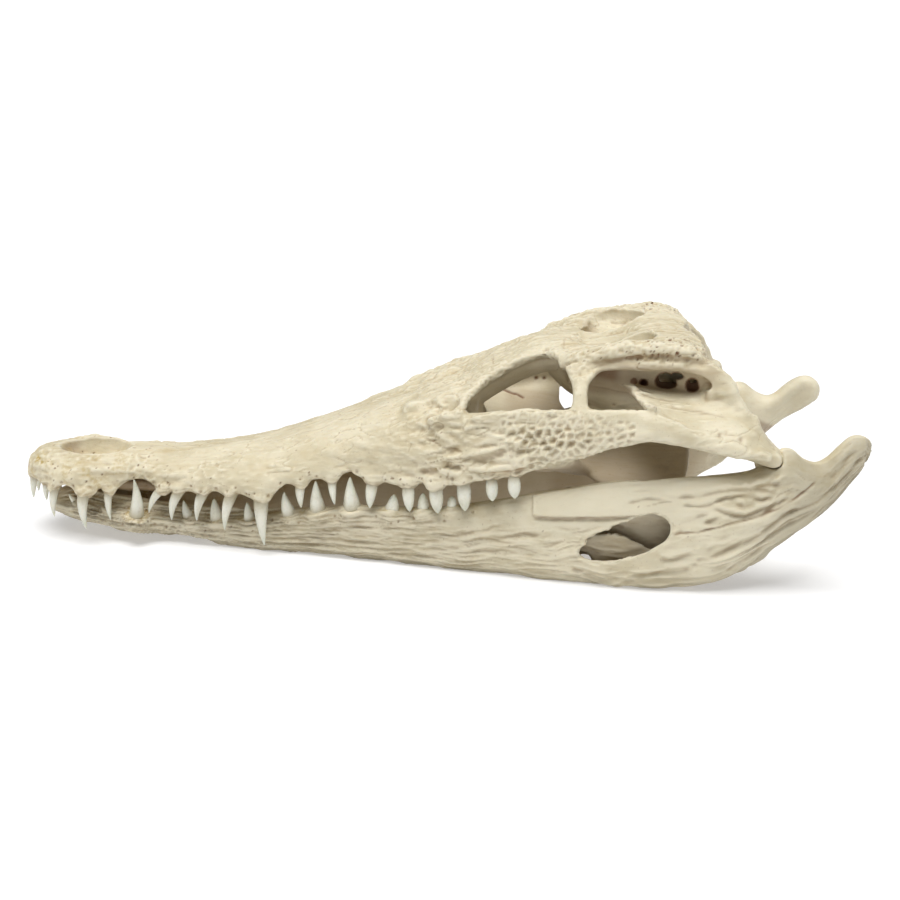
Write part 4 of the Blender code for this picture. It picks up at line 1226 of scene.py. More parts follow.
craniumMarks = {
    # drawn lines from the side, x and z
    "sutures": [
        [(304.8, 91.1), (309.3, 90), (316.5, 87.7), (325.9, 85.1), (336.7, 84), (349, 82.5)],
        [(344.4, 97.1), (349.9, 98)],
        [(202.9, 65.4), (207.7, 62.9), (216, 61.1), (225.2, 60.5)],
    ],
    "folds": [
        [(229.3, 48.9), (237.3, 54.8), (245.4, 56.7), (252.8, 54.4), (262, 57)],
        [(222, 54), (235.3, 58.5), (243.4, 62.2), (251.4, 64.1), (258.6, 62.9)],
        [(229.7, 63.4), (240.5, 67), (249.4, 68.5)],
        [(212, 55.5), (219, 52.5), (227.4, 50.7), (236.6, 51), (245.8, 51.5), (256, 54)],
        [(200, 46), (212, 47.5), (222, 47)],
    ],
    "tearRidges": [
        [(222, 80.5), (218.3, 78.4), (213.8, 77.1), (211.8, 80.1), (213.7, 82.3)],
        [(214.7, 77), (218.4, 73.6), (223.9, 73.5)],
        [(201.8, 71.1), (209.2, 73.9), (213.9, 73), (218.5, 71.5)],
        [(210.4, 81.1), (211.4, 78.1), (209.2, 74.5)],
        [(196, 74), (203, 77.5), (208, 76)],
    ],
    # drawn lines from above, x and y
    "roofSutures": [
        [(271.3, 26), (275, 5.5), (279.2, -12.4), (281.4, -18.8)],
        [(271.3, -26), (273, -12), (275.5, -2)],
        [(238.3, 4.4), (238.7, -9.4), (238, -18.3)],
        [(60, 0), (90, 0.6), (120, -0.5), (150, 0.4), (180, -0.2), (205, 0)],
        [(205, 0), (212, -8), (221, -14), (228, -20)],
        [(205, 0), (213, 8.5), (222, 14), (229, 20)],
        [(118, -8), (150, -11), (178, -12), (196, -14)],
        [(118, 8), (150, 11), (178, 12), (196, 14)],
    ],
    "roofGrooves": [
        [(281.5, -27.5), (290.3, -31.5), (301, -33), (312, -31)],
        [(294.1, -9), (303.8, -7), (313, -8), (322, -11)],
        [(290, 8), (303, 6), (314, 8), (325, 12)],
        [(310, -26), (322, -24), (333, -26)],
        [(312, 27), (322, 25), (334, 28)],
        [(314, -17), (326, -15), (336, -17)],
    ],
    "rimGroove": [
        (268.3, 102), (271.1, 100.8), (276.7, 101.5), (287.8, 103.3), (296.7, 105.6), (309.1, 108),
        (321.6, 108.8), (336, 107),
    ],
    "honeycomb": [
        (244, 74), (250, 79.5), (262, 81.5), (275, 81), (288, 79.5), (299, 78), (297, 73),
        (286, 67), (277, 62.5), (266, 58), (254, 60.5), (245, 66),
    ],
    "cheekHoles": [(353.5, 75.3, 1.5), (343.3, 77.6, 1.2), (300, 74, 0.8)],
    # a fine crack and two small holes inside the eye socket: x, y, z along each, and the width
    "scratches": [
        ([(243.5, 45.4, 65.2), (248, 45, 63.8), (252.6, 44.2, 61.9), (254.4, 43.8, 62.3), (257.8, 42.8, 60.4)], 0.7),
        ([(265.1, 52, 69), (265.6, 52.1, 69)], 0.9),
        ([(269.6, 53, 68.8), (269.9, 53, 68.8)], 0.8),
    ],
    "tipSpots": [(8.6, -11, 37.4, 2.2), (11, -13.8, 36.4, 1.4), (18, 14, 36, 1.2)],  # x, y, z, radius
    "bowlEnds": [(314.5, 7.5), (289, 7)],  # x and reach
    "leftRimRise": 1.9,
    # textures: how, where, size along x, y and z, seed, layers of noise or width of a crease, height or depth
    "broad": [
        ("rough", "all", (24, 15, 15), 3, 2, 0.8),
        ("rough", "outer", (10, 6, 6), 5, 2, 0.55),
        ("rough", "knotted", (9, 5, 5), 13, 2, 1.5),
    ],
    "wrinkles": [
        ("rough", "wrinkled", (13, 3.2, 3.2), 7, 3, 1),
        ("crease", "creased", (12, 4.2, 4.2), 9, 0.10, 0.42),
        ("rough", "front", (6.5, 4, 4), 8, 2, 1),
        ("rough", "tableTop", (12, 3.2, 4), 37, 3, 1.3),
        ("crease", "tableOuter", (13, 4, 4), 38, 0.13, 0.8),
        ("rough", "forehead", (6, 4, 4), 39, 3, 0.75),
        ("crease", "forehead", (9, 5, 5), 40, 0.12, 0.45),
    ],
    "cheekFolds": [
        ("rough", "cheek", (13, 9, 4), 19, 2, 2.2),
        ("crease", "cheek", (14, 9, 4.4), 21, 0.12, 0.8),
    ],
    "rearFolds": [
        ("rough", "cheek", (18, 5, 4), 29, 2, 0.75),
        ("crease", "cheek", (20, 8, 5), 30, 0.09, 0.4),
    ],
    # pores: the cells' size, seed, radius, depth, darkness, share of the cells that have one
    "pores": {
        "tableRear": (2.5, 23, 0.92, 0.9, 0.95, 0.9),
        "tableRim": (2.7, 25, 0.7, 0.6, 0.55, 0.55),
        "alongTeeth": (3.6, 27, 0.66, 0.55, 0.75, 0.38),
        "tip": (3.2, 31, 0.66, 0.6, 0.75, 0.50),
        "snout": (3.9, 33, 0.5, 0.35, 0.40, 0.20),
    },
    "seed": 5,
    # parts of the skin: (start, full) is a slope, (low, high, softness) is a band
    "regions": {
        "tableFront": {"x": (286, 306, 6), "z": (103, 107)},
        "snoutSide": {"x": (135, 205, 12)},
        "knotted": {"x": (190, 226, 6), "z": (64, 92, 5)},
        "cheekFront": {"x": (205, 262, 10), "z": (42, 76, 4)},
        "rearCheek": {"x": (300, 366, 8), "z": (60, 96, 4)},
        "table": {"x": (268, 280), "z": (98, 103)},
        "tableMiddle": {"x": (284, 312, 6), "side": (16, 10)},
        "forehead": {"x": (205, 275, 6)},
        "lip": {"x": (268, 280), "side": (31, 36)},
        "comb": {"side": (46, 52)},
        "orbitRim": {"x": (226, 284, 6), "z": (84, 90), "side": (15, 19)},
        "tableRim": {"x": (268, 274), "z": (103, 107), "side": (31, 36)},
        "barTop": {"x": (270, 286, 2), "z": (99, 95), "side": (35, 39)},
        "porousTable": {"x": (309, 341, 4), "z": (106, 109.5), "side": (30, 47, 2)},
        "porousRim": {"x": (272, 345, 4), "z": (102, 105), "side": (33, 37)},
        "tipSkin": {"x": (90, 60), "z": (27, 30)},
        "tipMottle": {"x": (85, 45), "z": (24, 27)},
        "snoutSkin": {"x": (60, 235, 8), "z": (30, 34)},
        "ear": {"x": (296, 346, 4), "z": (86, 104, 2), "side": (20, 47, 2)},
        "bowl": {"z": (98, 108.5, 2)},
        "bowlSlot": {"x": (285, 301, 3), "z": (103, 99.5), "side": (11, 24, 2)},
        "wing": {"x": (248, 345, 6), "z": (68, 60), "side": (51, 46)},
        "naris": {"x": (18, 20), "z": (30, 41.5, 1.5)},
        "window": {"x": (272, 312, 4), "z": (80, 101, 2), "side": (8, 42, 2)},
    },
}


def innerWalls(x, side, z):  # the walls inside the eye socket and inside the temple
    rim = np.array(ridges["orbitRim"])
    level = np.interp(x, rim[:, 0], rim[:, 2])
    socket = span(x, 226, 279, 2) * ramp(z, level - 1.6, level - 3.6) * ramp(side, 45, 42) * ramp(z, 60, 66)
    flare = 0.1 * (x - 300)
    temple = span(x, 280, 343, 3) * ramp(side, 37 + flare, 33 + flare) * span(z, 86, 102, 2)
    return np.maximum(socket, temple)


def sculptCranium(made):
    marks = craniumMarks
    random = np.random.default_rng(marks["seed"])
    bone = Surface(made, marks["regions"], innerWalls)
    bone.points[:, 2] += marginShift(bone.points)
    # the left rim of the table stands a little higher in front
    bone.points[:, 2] += marks["leftRimRise"] * bone.at("tableFront") * hill(bone.side, 35.5, 9) * (bone.y < 0)
    movePoints(made, bone.points)
    bone.fresh()
    # broad unevenness; the brow and the tear bone are knotted
    bone.work(marks["broad"], {"all": 1, "outer": bone.outer, "knotted": bone.at("knotted") * bone.outer})
    # a shallow trough along the snout's sides and a low swell over the largest tooth
    bone.lift += 0.8 * hill(bone.x, 125, 16) * hill(bone.z, 31, 9) * bone.outward
    bone.lift -= 0.7 * bone.at("snoutSide") * hill(bone.z, 50, 10) * bone.outward
    bone.draw(marks["tearRidges"], -1.1, 1.6, seed=81, taper=3)
    bone.draw(marks["folds"], 1.15, 1.7, seed=83)
    bone.draw(shifted(marks["folds"], 3), -0.7, 1.6, seed=83)
    bone.press()
    # wrinkles run along the bones
    x, z, side, outer, outward = bone.x, bone.z, bone.side, bone.outer, bone.outward
    fore = 1 - ramp(x, 262, 280) * outward
    front = ramp(x, 150, 70) * outward
    spotted = front * ramp(softNoise(bone.points, 12, 18), -0.5, 0.3)
    frontWaves = wavy(bone.points, (0.9, 0, 0.6), 4, 16)
    bone.cellPits(front * outer, frontWaves, (5, 3.8), 17, 0.25, 0.75, strength=spotted)
    lean = bone.points.copy()
    lean[:, 2] -= 0.28 * (x - 230)  # the cheek's folds climb to the rear
    cheekWaves = wavy(lean, (0, 0, 1.6), 9, 18, bone.points)
    bone.work(marks["cheekFolds"], {"cheek": bone.at("cheekFront") * outward}, cheekWaves)
    bone.work(marks["rearFolds"], {"cheek": bone.at("rearCheek") * outward}, lean)
    bowl = hollows["tableBowl"]
    inBowl = ramp(ellipse(x, side, (bowl["x"], bowl["y"]), bowl["half"]), 1.12, 0.95)
    table = bone.at("table") * (1 - inBowl) * (1 - 0.7 * bone.at("tableMiddle"))
    forehead = bone.at("forehead") * bone.upward
    bone.work(marks["wrinkles"], {
        "wrinkled": (0.60 + 0.45 * ramp(x, 150, 220)) * outer * fore,
        "creased": outer * fore * ramp(x, 20, 60),
        "front": front,
        "tableTop": table * bone.upward,
        "tableOuter": table * outer,
        "forehead": forehead,
    })
    lip = bone.at("lip") * ramp(x, 344, 336) * outward
    rimLine = np.array(marks["rimGroove"]).T
    overGroove = z - np.interp(x, *rimLine)
    bone.lift -= 1.5 * bell(overGroove, -1.2, 2.4) * lip
    bone.lift += 0.6 * bell(overGroove, 3.6, 2) * lip
    # honeycomb on the cheek
    cheek = bone.at("comb") * outward
    comb = inside(bone.points, marks["honeycomb"], 9) * cheek * (0.8 + 0.3 * softNoise(bone.points, 9, 91))
    bone.cellPits(comb, wavy(lean, (0.8, 0, 0.4), 4, 92), (4.6, 3.9), 11, 0.9, 3.2, 0.85, 0.85)
    fringe = np.clip(inside(bone.points, marks["honeycomb"], 14) * 2.2, 0, 1) * cheek * ramp(x, 250, 262)
    fringe *= 1 - np.clip(comb * 1.6, 0, 1)
    bone.cellPits(fringe, lean, (3.8, 3.1), 12, 0.3, 1.1)
    # the rims of the eye sockets and of the table are rough
    rim = np.maximum(bone.at("orbitRim"), bone.at("tableRim")) * (1 - bone.at("barTop"))
    rim *= outer * (0.45 + 0.4 * softNoise(bone.points, 8, 93)) * (1 + 0.5 * ramp(x, 270, 282))
    some = np.nonzero(rim > faint)[0]
    edge = cells(bone.points[some], (3.8, 3, 3), 15)[1]
    bone.lift[some] += (0.3 - ramp(edge, 0.05, 0.7)) * rim[some]
    bone.press()
    # pinholes on the table's rear rim
    x, z, side, outer, outward = bone.x, bone.z, bone.side, bone.outer, bone.outward
    porous = bone.at("porousTable") * outer * ramp(softNoise(bone.points, 7, 95), -0.5, 0.1)
    porousRim = bone.at("porousRim") * outer
    bone.pores(marks["pores"]["tableRear"], porous)
    bone.pores(marks["pores"]["tableRim"], porousRim)
    bone.rough((5, 3, 3), 26, 2, 0.7, porousRim)
    # small blood-vessel holes on the snout and along the tooth margin
    margin = np.array(snoutShape["margin"]).T
    overTeeth = z - np.interp(x, *margin)
    bone.pores(marks["pores"]["alongTeeth"], span(overTeeth, 2.2, 9, 1) * ramp(x, 250, 232) * outward)
    bone.pores(marks["pores"]["tip"], bone.at("tipSkin") * outer)
    bone.tint("grease", 0.42 * ramp(softNoise(bone.points, 5, 97), 0, 0.5) * bone.at("tipMottle") * outer)
    bone.pores(marks["pores"]["snout"], bone.at("snoutSkin") * outer)
    bone.holes(holeRow(random, margin, (8, 232, 5.4), 0.75, 2, (2.6, 6)), 0.7, 0.72)
    bone.holes(marks["cheekHoles"], 0.6, 0.35)
    bone.draw(marks["sutures"], 0.5, 0.6, 0.5)
    bone.draw([marks["rimGroove"]], 0.8, 1.1, 0.12, where=ramp(side, 30, 36), taper=8)
    bone.draw(marks["roofSutures"], 0.28, 0.5, 0.22, "top")
    bone.draw(marks["roofGrooves"], 0.8, 1.5, 0.05, "top", where=table)
    # colours that follow the bones
    overGroove = z - np.interp(x, *rimLine)
    lip = ramp(side, 31, 36) * outward
    # painted shade, warm brown, in the band under the table's rim
    bone.warm += 0.6 * bell(overGroove, -0.6, 2.2) * lip * span(x, 290, 342, 8)
    bone.stain += 0.30 * bell(overGroove, -0.4, 1.5) * lip * span(x, 288, 342, 8)
    bone.warm += 0.18 + 0.62 * ramp(x, 130, 40) * outer + 0.42 * table + 0.25 * forehead
    bone.warm += 0.3 * span(x, 60, 230, 15) * ramp(overTeeth, 4, 16)
    bone.warm += 0.35 * ramp(overTeeth, 5, 0) * ramp(x, 260, 240)
    for row in upperTeeth["rows"]:
        for way in sides.values():
            foot, _ = toothEnds(row, way)
            bone.tint("stain", 0.4 * ramp(bone.far(foot), 6.5, 3) * bone.downward)
    for *place, reach in marks["tipSpots"]:
        away = bone.far(place)
        bone.tint("grease", ramp(away, reach * 1.5, reach * 0.4))
        bone.lift -= 0.5 * ramp(away, reach, reach * 0.3)
    # inside surfaces are browner, partly stain and partly painted shade, and the ear's depths and walls get painted
    # shade
    bone.stain += 0.10 * (1 - outer) * ramp(x, 200, 240)
    for hole in earHoles:
        reach = np.sqrt(sum(
            ((place - hole[axis]) / (half + 0.9)) ** 2
            for place, axis, half in zip((x, side, z), "xyz", hole["half"])
        ))
        bone.tint("pits", 0.8 * ramp(reach, 1.08, 0.92) * ramp(side, hole["y"] + 8, hole["y"] + 3))
    bone.tint("stain", 0.36 * bone.at("ear") * (1 - bone.upward))
    # painted shade at the ends of the table's bowl, and in the slot under it
    for endX, reach in marks["bowlEnds"]:
        bowlEnd = ellipse(x, side, (endX, 20), (reach, 9))
        bone.tint("stain", 0.34 * ramp(bowlEnd, 1.1, 0.4) * inBowl * bone.at("bowl"))
    bone.tint("pits", 0.62 * bone.at("bowlSlot") * ramp(z, 88, 92))
    # painted shade in brown, with some stain, on the roof of the mouth, the pterygoid wings, inside the naris and on
    # the windows' inner walls
    widths = np.array(snoutShape["rows"])[:, :2].T
    mouth = ramp(side / np.interp(x, *widths), 0.80, 0.60) * ramp(overTeeth, 12, 7) * ramp(x, 245, 225)
    bone.tint("stain", 0.62 * mouth)
    bone.tint("stain", 0.46 * bone.at("wing"))
    naris = ellipse(x, bone.y, (21, 0), (8, 12))
    bone.tint("stain", 0.40 * ramp(naris, 1.2, 0.5) * bone.at("naris"))
    bone.tint("stain", 0.40 * bone.at("window") * (1 - bone.upward))
    for line, reach in marks["scratches"]:
        bone.scratch(line, 0.7, reach, 0.95)
    bone.finish()


sculptCranium(cranium)
report("cranium sculpted")

boneMaterial = dryBone("dry bone", boneFinish)
jawMaterial = dryBone("dry jaw bone", boneFinish)
enamel = toothEnamel("tooth enamel", toothFinish)

# the skin is parted across its length, so that no piece has too many faces
craniumParts = {
    "skull_snout": (None, 196, ["snout_tip", "snout"]),
    "skull_face": (196, 264, ["snout", "forehead", "cheek_left", "cheek_right", "palate"]),
    "skull_middle": (264, 313, ["forehead", "skull_table", "braincase", "palate", "cheek_left", "cheek_right"]),
    "skull_rear": (313, None, ["skull_table", "braincase", "palate", "quadrate_left", "quadrate_right"]),
}
for partName, (front, rear, nodes) in craniumParts.items():
    cuts = [((x, 0, 0), (way, 0, 0)) for x, way in ((front, -1), (rear, 1)) if x is not None]
    settle(cutPiece(cranium, partName, cuts), boneMaterial, nodes)
bpy.data.objects.remove(cranium)

# the lower jaw
jawShape = {
    "restLevel": -4.45,
    # x, outer face from the midline, low z, top z, thickness
    "rows": [
        (13, 6, 7.5, 13, 7),
        (17, 9.5, 6.6, 14.5, 10.5),
        (26, 13.5, 5, 15, 14.5),
        (40, 16.5, 3.2, 13.5, 17.5),
        (57, 21.5, 1.6, 12, 22.5),
        (73, 18.5, -0.8, 10.3, 15),
        (95, 21, -2.6, 9.2, 13.5),
        (118, 25, -4.6, 11.8, 13.5),
        (143, 29.5, -4.8, 18.5, 13.5),
        (174, 36, -4.9, 23.2, 14),
        (209, 44, -5, 26, 14.5),
        (243, 51.5, -5.3, 34.5, 15),
        (273, 59, -5.8, 43.5, 16),
        (298, 64.5, -6, 50, 17),
        (328, 68, -3.9, 54, 17.5),
        (347, 68.5, 0.2, 55.6, 18),
        (362, 67.5, 6.8, 57.6, 19),
        (369, 67, 11.6, 60.8, 20),
        (374, 66.8, 15.4, 67.6, 20),
        (380, 66, 20.6, 68.6, 19),
        (386.5, 65, 25.6, 63.8, 17.5),
        (393, 63.5, 31, 61.4, 16),
        (398.5, 62, 37, 63.8, 14.5),
        (404, 60.5, 43, 69.4, 13),
        (410, 58.5, 50, 74.2, 12),
        (414.8, 57, 55.8, 74.4, 11),
        (417.4, 56, 59.4, 73.2, 9.6),
        (418.4, 55, 63.2, 70.6, 5.6),
    ],
    "innerRim": [
        (15.5, 3.4, 6.5, 3.6, 16.6, 6),
        (21, 4, 6, 4.5, 19.4, 6.5),
        (30, 5, 6, 5.5, 19.4, 6.5),
        (42, 6.5, 5, 7, 18.2, 7),
        (57, 9.5, 4, 10, 17.6, 8),
        (73, 9, 2, 9.5, 15, 5),
        (95, 12, 1, 12.5, 14.4, 4.5),
        (118, 15.5, 1, 16, 15.4, 4.5),
        (140, 19.5, 3, 20, 19, 4.5),
    ],
    "jointShelf": [
        (367, 40, 54, 376, 40, 59, 9),
        (367, 58, 53, 378, 58, 60, 10),
    ],
    # the window's outline from the side, x and z, with its frayed front margin
    "window": [
        (280.6, 13), (282.6, 16.8), (285.4, 19.2), (284.6, 21), (288.6, 22.2), (288, 23.8), (291.8, 24.6),
        (291.4, 26), (295.2, 27), (295.4, 28.6), (299.2, 30.2), (300, 31.6), (303.8, 32.4), (305.2, 33.8),
        (309, 34.6), (312.4, 36.1), (316.3, 36.2), (320.2, 35.2), (323.2, 32.4), (324, 29.2), (323, 25.4),
        (321.2, 22.4), (317, 19.6), (312.6, 16.9), (306.5, 14.2), (299.9, 11.6), (293.2, 10.1), (287.9, 9.8),
        (284, 10.6),
    ],
    # the hollow inside the jaw's walls, as blade rows
    "marrow": [
        (270, 50, 10, 50, 26, 3),
        (281, 52.6, 1.5, 52.6, 33, 8),
        (292, 54.8, 0.5, 54.8, 38, 9.5),
        (304, 57.6, 1.5, 57.6, 40, 10),
        (318, 59.8, 4, 59.8, 42, 9.6),
        (332, 60.6, 12, 60.6, 42, 8),
        (346, 59, 26, 59, 50, 5),
    ],
    "innerPlate": [
        (276, 51, 9, 51.5, 15, 3),
        (287, 53, 9, 54, 20.5, 3),
        (292.5, 54, -3.5, 55, 22, 3),
        (301, 56, -3.5, 57, 22.8, 3),
        (309, 57.5, -3, 58, 19.6, 3),
        (316, 58.5, -2, 59, 16.4, 3),
        (324, 59.5, 0, 60, 13.6, 3),
    ],
    "frontGap": {"x": 286, "y": 46.6, "z": 4.2, "half": (4.8, 5.4, 3.4), "tilt": 20},
    "trough": {"x": 326, "y": 56, "z": 54, "half": (26, 2.8, 10)},
    "innerHollow": {"x": 384, "y": 40, "z": 16, "half": (26, 17, 20)},
    "seatPlay": 0.6,
    "halfGap": 0.15,
    # the window's plane leaves the midline by this much for each millimetre behind flareFrom
    "flare": 0.11,
    "flareFrom": 280,
    "windowDepth": (54, 30),  # where its cutter starts, and how thick it is
    "farLift": 7,  # the right half's rear lower edge stands higher
}


def jawRows():
    rows = jawShape["rows"]
    return [(x, outer - thick / 2, low, outer - thick / 2, top, thick) for x, outer, low, top, thick in rows]


def swollen(rows, extra):  # the same blade, larger all round
    grown = []
    for row in rows:
        near, far = Vector(row[0:3]), Vector(row[3:6])
        reach = (far - near).normalized() * extra
        grown.append((*(near - reach), *(far + reach), row[6] + 2 * extra))
    x, y, z, farX, *rest = grown[-1]
    return [*grown, (x + extra, y, z, farX + extra, *rest)]


def windowCutter(side):
    mesh = bmesh.new()
    start, depth = jawShape["windowDepth"]
    rim = [
        mesh.verts.new((x, (start + (x - jawShape["flareFrom"]) * jawShape["flare"]) * side, z))
        for x, z in jawShape["window"]
    ]
    face = bmesh.ops.contextual_create(mesh, geom=rim)["faces"][0]
    pushed = bmesh.ops.extrude_face_region(mesh, geom=[face], use_keep_orig=True)["geom"]
    moved = [item for item in pushed if isinstance(item, bmesh.types.BMVert)]
    bmesh.ops.translate(mesh, vec=(0, depth * side, 0), verts=moved)
    bmesh.ops.recalc_face_normals(mesh, faces=mesh.faces)
    return mesh


def gapCutter(side):
    values = jawShape["frontGap"]
    return ellipsoid(values, side, 24, Matrix.Rotation(math.radians(values["tilt"]) * side, 3, "X"))


jawMarks = {
    # the ledge of the rear bone over the front one: its lower edge, x and z
    "ledge": [
        (257, 30.5), (259.3, 30.4), (266.5, 30.6), (277.4, 31.8), (289.9, 33.4), (300.6, 34.9), (309.6, 35.8),
        (316, 37.4),
    ],
    "ledgeFront": 258.6,
    "suture": [
        (324.2, 26.3), (329.2, 28.6), (337.5, 29.1), (345.6, 31.3), (356.8, 34.8), (366.9, 38), (374.8, 42.1),
        (381.6, 46.2), (387, 50.4), (392, 55),
    ],
    "deepGrooves": [
        [(319.5, 45.6), (331.9, 46.3), (342, 48.4), (351.2, 49.7), (362.6, 49.8), (372.9, 50)],
        [(326.5, 42), (336.4, 41.7), (342.5, 43.5), (348.4, 46.4), (357.7, 47), (366.1, 45.8), (372.1, 47.4)],
        [(341.6, 41.2), (349.1, 38.7), (358.6, 37.3), (366.6, 40.8), (373.6, 43.8), (379.3, 47.8)],
        [(359.4, 50.6), (368.5, 52.5), (376.6, 53.8)],
        [(332.7, 36), (338.8, 37.8), (342.9, 39.1)],
        [(337.2, 32.8), (343.2, 35.2), (349.3, 37)],
        [(300, 41), (312, 43.5), (322, 44)],
        [(352, 43), (358, 42), (364, 43.4)],
    ],
    "lowGrooves": [
        [(352.1, 6.6), (357.9, 12.4), (365.5, 20.6), (375.1, 28.7), (383.7, 36.8)],
        [(356.1, 9), (363.8, 16), (371.5, 23)],
        [(334.7, 13), (342.9, 14.9), (352.9, 20.3), (360.9, 25)],
        [(339.5, 17.6), (350.6, 22.5), (358.6, 27.2)],
        [(303.9, 3), (314.4, 3.9), (324.7, 7), (337.2, 8.5)],
        [(276.1, 5.5), (285.5, 2.3), (297.5, 1), (312, -0.5)],
        [(318, 12.5), (328, 14), (336, 18)],
        [(366, 28), (376, 35), (384, 42)],
        [(411.2, 69.5), (404.6, 62.1), (396.6, 54.5)],
        [(415.2, 67.3), (408.8, 58.3), (399.2, 48.3)],
    ],
    "frontGrooves": [
        [(198.6, 6.7), (210.9, 10.8), (224, 15.4), (237.8, 20.5), (251.5, 25.7)],
        [(210.8, 12.4), (219.3, 14.9), (228.6, 18.9)],
        [(172.5, 0.4), (186.1, 1), (200.6, 2), (215, 3)],
        [(140, 6), (156, 7.5), (170, 8)],
        [(228, 7), (246, 10), (262, 14)],
        [(236, 15.5), (252, 19), (270, 22.5)],
    ],
    "bigSocket": (58.8, 10.5),  # of the largest tooth, x and z
    "seeds": {-1: 11, 1: 12},
    # textures: how, where, size along the sweep, through and up, seed, layers of noise or width, height or depth
    "fibres": [
        ("rough", "streaks", (24, 5, 3), 47, 2, 1),
        ("rough", "fine", (18, 3, 1.6), 51, 2, 0.9),
        ("crease", "cracks", (20, 9, 3.6), 53, 0.10, 1),
        ("rough", "folds", (26, 14, 6.5), 55, 1, 1.6),
        ("rough", "folds", (12, 8, 3), 56, 2, 0.8),
        ("crease", "folds", (26, 14, 6), 58, 0.09, 0.8),
        ("rough", "lower", (34, 14, 6), 59, 1, 1.2),
        ("crease", "lower", (34, 14, 5.5), 60, 0.10, 0.55),
        ("rough", "rear", (20, 7, 3.2), 62, 2, 0.35),
        ("rough", "lower", (34, 6, 2.8), 63, 2, 2.1),
        ("rough", "hook", (18, 2.4, 2.4), 57, 2, 0.7),
        ("crease", "hook", (26, 6, 3), 64, 0.12, 0.3),
    ],
    # drawn lines: which, how far above them, depth (below 0 a raised lip), width, darkness (painted shade in the
    # groove), seed, waver
    "grooves": [
        ("deepGrooves", 0, 1.5, 1.2, 0.10, 61, 0.5),
        ("deepGrooves", 2.3, -1.2, 1.9, 0, 61, 0.5),
        ("lowGrooves", 0, 1.4, 1.4, 0.06, 65, 0.8),
        ("lowGrooves", 2.8, -1, 2, 0, 65, 0.8),
        ("frontGrooves", 0, 0.7, 1.2, 0.04, 69, 0.8),
    ],
    # pores: the cells' size, seed, radius, depth, darkness, share of the cells that have one
    "pores": {
        "front": (3.4, 77, 0.55, 0.4, 0.5, 0.25),
        "sides": (6, 79, 0.5, 0.3, 0.4, 0.10),
        "socket": (1.9, 85, 0.6, 0.5, 0.5, 0.7),
    },
    "flow": 42,  # the jaw's height along its sweep, which sets how fine the fibres are
    # parts of the skin; share is 0 along the jaw's lower edge and 1 along its top
    "regions": {
        "farRise": {"x": (352, 410, 12), "share": (0.9, 0)},
        "smoothBand": {"x": (215, 300, 12), "share": (0.66, 1, 0.07)},
        "folds": {"x": (312, 386, 7), "share": (0.50, 0.86, 0.06)},
        "lowRear": {"x": (318, 396, 10), "share": (0.52, 0.30)},
        "lowMiddle": {"x": (262, 318, 8), "share": (0.24, 0.10)},
        "hook": {"x": (384, 398)},
        "hookDish": {"x": (392, 412, 6), "share": (0.30, 0.78, 0.14)},
        "hookShade": {"x": (375, 400, 4)},
        "toothLine": {"x": (245, 225), "share": (0.84, 0.98)},
        "paleBand": {"x": (262, 345, 14), "share": (0.50, 0.72)},
        "palePatch": {"x": (318, 375, 14), "share": (0.15, 0.50, 0.10)},
        "insideWindow": {"x": (281, 326, 3), "z": (5, 40, 3)},
    },
}


